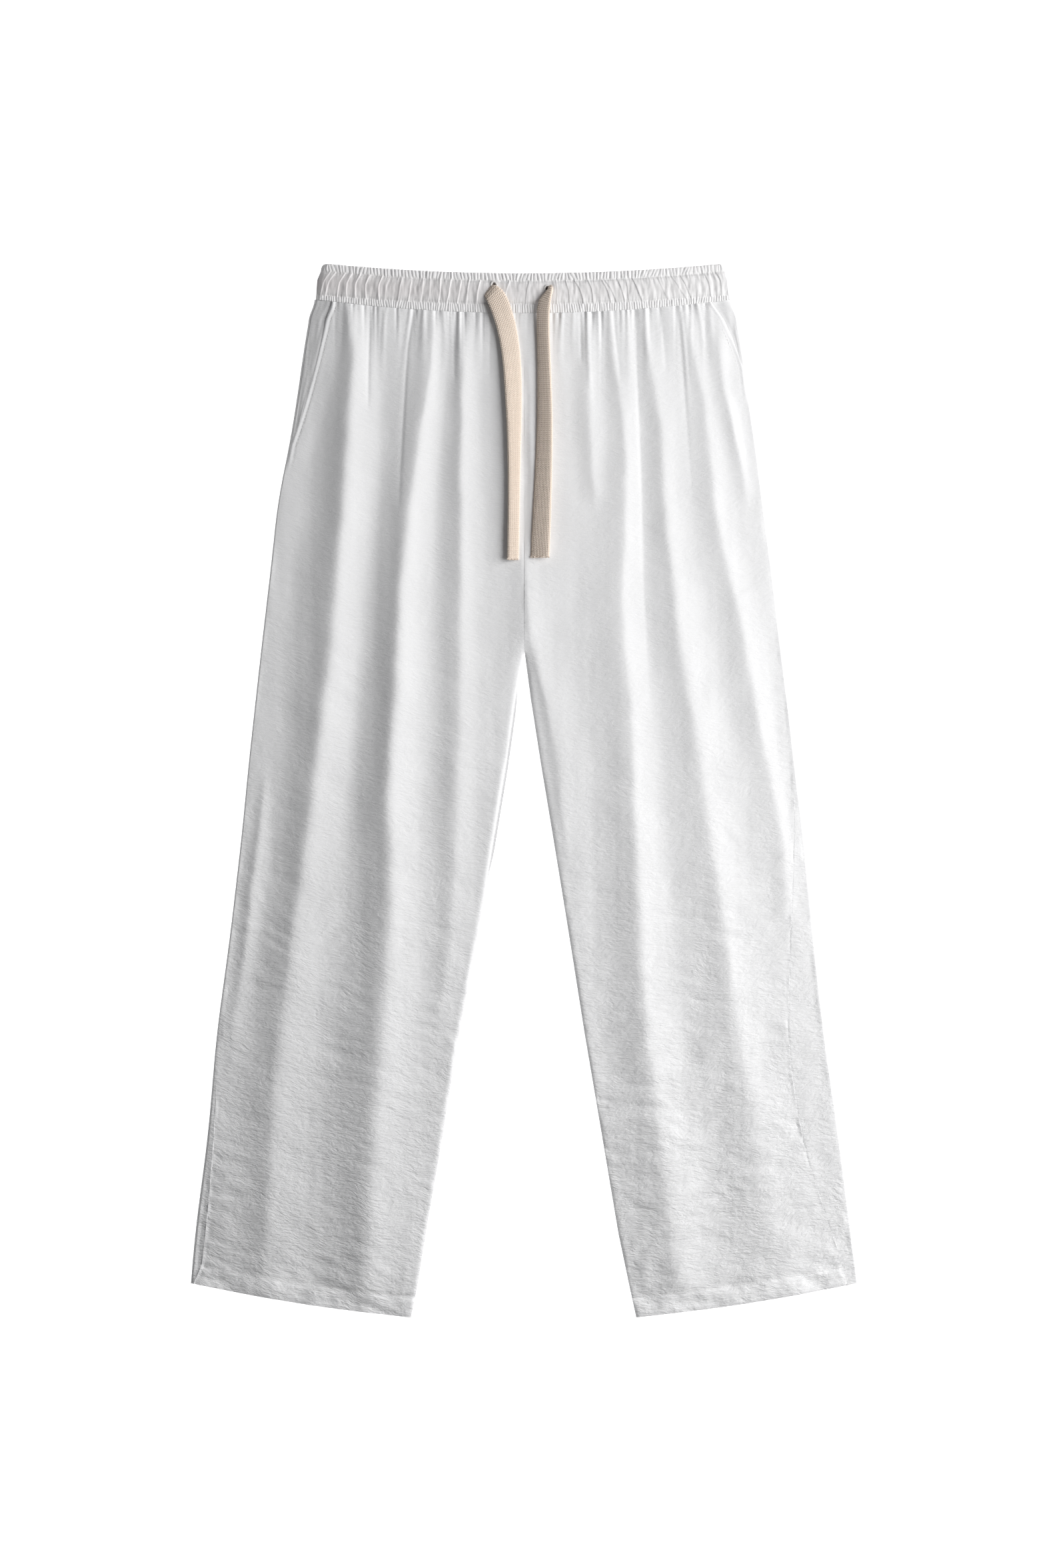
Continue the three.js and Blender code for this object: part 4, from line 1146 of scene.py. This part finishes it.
def stitch_tree(across):
    """Stitches at an even pitch along a curve, lying along it or, if across is set, over it."""
    tree, nodes, given = tree_with_input("stitches_across" if across else "stitches_along", [
        ("Pitch", "NodeSocketFloat"), ("Length", "NodeSocketFloat"), ("Width", "NodeSocketFloat"),
        ("Thread", "NodeSocketMaterial")])
    line, pitch, length, width, thread = (
        nodes.out(given, label) for label in ("Geometry", "Pitch", "Length", "Width", "Thread"))
    points = nodes.get("GeometryNodeResampleCurve", {"Curve": line, "Length": pitch}, mode="LENGTH")
    bead = nodes.get("GeometryNodeMeshUVSphere", {"Segments": 6, "Rings": 5, "Radius": 0.5})
    size = nodes.get("ShaderNodeCombineXYZ", {"X": length, "Y": width, "Z": width})
    tangent = nodes.get("GeometryNodeInputTangent")
    turn = nodes.get("FunctionNodeAlignRotationToVector", {"Vector": tangent},
                     axis="Y" if across else "X", pivot_axis="Z")
    placed = nodes.get("GeometryNodeInstanceOnPoints", {
        "Points": points, "Instance": bead, "Rotation": turn, "Scale": size})
    real = nodes.get("GeometryNodeRealizeInstances", {"Geometry": placed})
    shaded = nodes.get("GeometryNodeSetShadeSmooth", {"Geometry": real})
    end_tree(nodes, shaded, thread)
    return tree


def curve_object(name, lines, cyclic=False):
    """A curve with one straight-sided spline for each line of points in millimetres."""
    curve = bpy.data.curves.new(name, "CURVE")
    curve.dimensions = "3D"
    for line in lines:
        spline = curve.splines.new("POLY")
        spline.points.add(len(line) - 1)
        flat = np.concatenate([np.asarray(line) * MM, np.ones((len(line), 1))], axis=1)
        spline.points.foreach_set("co", flat.ravel())
        spline.use_cyclic_u = cyclic
    piece = bpy.data.objects.new(name, curve)
    bpy.context.collection.objects.link(piece)
    return piece


def run_tree(source, tree, inputs, name):
    """Runs a tree on an object and gives the result as a plain mesh object."""
    modifier = source.modifiers.new("make", "NODES")
    modifier.node_group = tree
    for item in tree.interface.items_tree:
        if item.in_out == "INPUT" and item.name in inputs:
            modifier[item.identifier] = inputs[item.name]
    depsgraph = bpy.context.evaluated_depsgraph_get()
    mesh = bpy.data.meshes.new_from_object(source.evaluated_get(depsgraph))
    mesh.name = name
    bpy.data.objects.remove(source)
    piece = bpy.data.objects.new(name, mesh)
    bpy.context.collection.objects.link(piece)
    return piece


def stitches(name, lines, thread, pitch=3.4, length=2.5, width=0.45, across=False, cyclic=False):
    """Stitches along lines, as one mesh. Sizes are in millimetres."""
    source = curve_object(name + "_line", lines, cyclic)
    return run_tree(source, stitch_tree(across), {
        "Pitch": pitch * MM, "Length": length * MM, "Width": width * MM, "Thread": thread}, name)


def vertices_of(piece):
    """The places of a piece's vertices, in millimetres."""
    points = np.empty(len(piece.data.vertices) * 3, dtype=np.float32)
    piece.data.vertices.foreach_get("co", points)
    return points.reshape(-1, 3) / MM


LAY_REACH = 1.6  # how close a cloth vertex must be for a stitch to lie on it


def lay_on(points, line, lift):
    """The line's points, each set on the highest cloth vertex that is close to it."""
    laid = []
    for x, y in line:
        near = (np.abs(points[:, 0] - x) < LAY_REACH) & (np.abs(points[:, 1] - y) < LAY_REACH)
        if near.any():
            laid.append((x, y, points[near, 2].max() + lift))
    return laid


def side_line(side, inset, start, end, count):
    """A line down the cloth that runs inset inside the pocket's opening."""
    sign = SIDES[side]
    along = np.linspace(start, end, count) / PANEL_LENGTH
    edge = leg_place(side, 0, along)
    seam = EDGE_RADIUS + SEAM_GAP
    across = (np.maximum(pocket_inset(side, edge["outer_y"]), seam) + inset) / edge["outer"]
    place = leg_place(side, across, along)
    return np.stack([sign * place["out"], place["y"]], axis=1)


def hem_stitch_line(side, margin, count):
    """A line across the leg along the top of its hem, a margin in from both edges."""
    sign = SIDES[side]
    along = (PANEL_LENGTH - HEM_DEPTH - STITCH_BELOW) / PANEL_LENGTH
    across = np.linspace(margin, 1 - margin, count)
    place = leg_place(side, across, along)
    return np.stack([sign * place["out"], place["y"]], axis=1)


YARN_COUNT, YARN_RADIUS = 140, 0.25
YARN_LOWEST = 4.6  # so that the yarns stay over the cloth


def loose_yarns(side, line, yarn_material):
    """Short yarns that stand out of the cut end, at seeded angles."""
    random = np.random.default_rng(21 if side == "right" else 22)
    end = line[-1]
    roll = math.radians(CORDS[side]["roll"][-1])
    forward = line[-1] - line[-12]
    forward = forward / np.linalg.norm(forward)
    width = CORDS[side]["width"][-1]
    sideways = np.array([1.0, 0, 0])
    wide = math.cos(roll) * sideways - math.sin(roll) * np.array([0, 0, 1.0])
    thick = np.cross(forward, wide)
    lines = []
    for _ in range(YARN_COUNT):
        a, b = random.uniform(-0.97, 0.97) * width / 2, random.uniform(-1, 1) * 1.7
        root = end + a * wide + b * thick - forward * 0.6
        lean = forward + wide * random.normal(0, 0.4) + thick * random.normal(0.2, 0.35)
        lean /= np.linalg.norm(lean)
        curl = wide * random.normal(0, 0.5) + thick * random.normal(0, 0.4)
        reach = random.uniform(0.9, 2.5)
        steps = np.linspace(0, 1, 5)[:, None]
        yarn = root + lean * steps * reach + curl * (steps ** 2) * reach * 0.5
        yarn[:, 2] = np.maximum(yarn[:, 2], YARN_LOWEST)
        lines.append(yarn)
    source = curve_object(f"yarn_lines_{side}", lines)
    tree, nodes, given = tree_with_input("loose_yarns", [("Thickness", "NodeSocketFloat"),
                                                         ("Yarn", "NodeSocketMaterial")])
    section = nodes.get("GeometryNodeCurvePrimitiveCircle", {
        "Resolution": 5, "Radius": nodes.out(given, "Thickness")})
    tube = nodes.get("GeometryNodeCurveToMesh", {
        "Curve": nodes.out(given, "Geometry"), "Profile Curve": section, "Fill Caps": True})
    real = nodes.get("GeometryNodeRealizeInstances", {"Geometry": tube})
    end_tree(nodes, real, nodes.out(given, "Yarn"))
    return run_tree(source, tree, {"Thickness": YARN_RADIUS * MM, "Yarn": yarn_material},
                    f"loose_yarns_{side}")


def eyelet_rim(side):
    """The ring of points round an eyelet that its satin stitches are worked over."""
    x, y = EYELETS[side]
    angle = np.linspace(0, 2 * np.pi, 40, endpoint=False)
    return np.stack([x + RIM_HALF_WIDTH * np.cos(angle), y + RIM_HALF_HEIGHT * np.sin(angle),
                     0 * angle + RIM_Z], axis=1)


# Camera, so that what follows can be measured against its view

def add_camera():
    """A long lens straight above, which looks down on the whole garment."""
    camera = bpy.data.objects.new("camera", bpy.data.cameras.new("camera"))
    bpy.context.collection.objects.link(camera)
    view_height, distance, lens_gauge = 1.4865, 6.0, 36
    camera.data.sensor_fit = "VERTICAL"
    camera.data.sensor_height = lens_gauge
    camera.data.lens = lens_gauge * distance / view_height
    camera.data.clip_end = 50
    camera.location = (-0.0019, 0.006, distance)
    bpy.context.scene.camera = camera


def add_light(name, place, target, size, power, colour):
    """A rectangular light turned to a target, in metres and watts."""
    light = bpy.data.objects.new(name, bpy.data.lights.new(name, "AREA"))
    bpy.context.collection.objects.link(light)
    light.data.shape = "RECTANGLE"
    light.data.size, light.data.size_y = size
    light.data.energy = power
    light.data.color = colour
    light.location = place
    light.rotation_euler = (Vector(target) - Vector(place)).to_track_quat("-Z", "Y").to_euler()


add_camera()

THREAD = sewing_thread("thread_white", (0.86, 0.845, 0.83))
# The second colour is painted shade between the braid's plaits.
CREAM = braid_cotton("braid_cream", (1, 0.885, 0.78), (0.6, 0.47, 0.365))
CLOTH = crinkled_cloth("cloth_white", (0.87, 0.87, 0.875), (0.8, 0.8, 0.805))
# The third colour tints the casing: partly its own colour over the elastic, partly painted shade.
BAND_CLOTH = waistband_cloth("cloth_on_elastic", (0.87, 0.865, 0.865), (0.79, 0.785, 0.785),
                             (0.7, 0.663, 0.66))

for side in SIDES:
    braid, line = drawstring(side)
    braid.data.materials.append(CREAM)
    yarns = loose_yarns(side, line, CREAM)
    for piece in (braid, yarns):
        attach(piece, "root")
    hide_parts(f"drawstring_{side}")

cloths = {}
for side in SIDES:
    for part, maker in (("front", front_panel), ("back", back_panel)):
        piece = maker(side)
        piece.data.materials.append(CLOTH)
        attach(piece, "root")
        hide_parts(f"{part}_{side}")
        cloths[part, side] = piece
    facing = pocket_facing(side)
    facing.data.materials.append(CLOTH)
    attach(facing, "root")
    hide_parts(f"pocket_facing_{side}")

band_front = waistband_front()
band_back = waistband_back()
for piece, nodes_replaced in (
        (band_front, ("waist_header_front", "waist_casing_front", "waist_band_front")),
        (band_back, ("waistband_back",))):
    piece.data.materials.append(BAND_CLOTH)
    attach(piece, "root")
    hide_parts(*nodes_replaced)

for side in SIDES:
    rim = stitches(f"eyelet_rim_{side}", [eyelet_rim(side)], THREAD, pitch=0.42, length=1.7,
                   width=0.5, across=True, cyclic=True)
    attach(rim, "root")
    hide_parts(f"eyelet_{side}")

    cloth = vertices_of(cloths["front", side])
    lines = [lay_on(cloth, hem_stitch_line(side, 0.03, 120), -0.08)]
    pocket_line = side_line(side, POCKET_STITCH_IN, 2, POCKETS[side]["length"] - 6, 60)
    lines.append(lay_on(cloth, pocket_line, -0.1))
    seam = stitches(f"topstitch_{side}", lines, THREAD, width=0.3)
    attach(seam, "root")

    under = hem_stitch_line(side, 0.03, 40)
    under = np.concatenate([under, np.full((len(under), 1), 0.32)], axis=1)
    seam = stitches(f"hem_stitch_back_{side}", [under], THREAD)
    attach(seam, "root")


def add_floor():
    """A white floor in metres, just under the cloth."""
    half, z = 6, -0.0004
    corners = np.array([(-half, -half, z), (half, -half, z), (half, half, z), (-half, half, z)])
    floor = finish_mesh("floor", corners, [[0, 1, 2, 3]])
    material, nodes = start_material("floor_white")
    shader = nodes.get("ShaderNodeBsdfPrincipled", {
        "Base Color": (0.9, 0.9, 0.9, 1), "Roughness": 0.9,
        "Emission Color": (1, 1, 1, 1), "Emission Strength": 1.0})
    nodes.add("ShaderNodeOutputMaterial", {"Surface": shader})
    floor.data.materials.append(material)


add_floor()
KEY_BEARING, KEY_HEIGHT, KEY_DISTANCE = math.radians(12), math.radians(34), 1.85
KEY_ACROSS = KEY_DISTANCE * math.cos(KEY_HEIGHT)
KEY_PLACE = (KEY_ACROSS * math.cos(KEY_BEARING), KEY_ACROSS * math.sin(KEY_BEARING),
             KEY_DISTANCE * math.sin(KEY_HEIGHT))
add_light("key", KEY_PLACE, target=(0, 0, 0), size=(1.5, 1.5), power=49.5,
          colour=(1, 0.997, 0.995))
world = bpy.data.worlds.new("studio")
bpy.context.scene.world = world
world.use_nodes = True
world.node_tree.nodes["Background"].inputs["Color"].default_value = (0.97, 0.98, 1, 1)
world.node_tree.nodes["Background"].inputs["Strength"].default_value = 0.15
bpy.context.scene.view_settings.view_transform = "Standard"
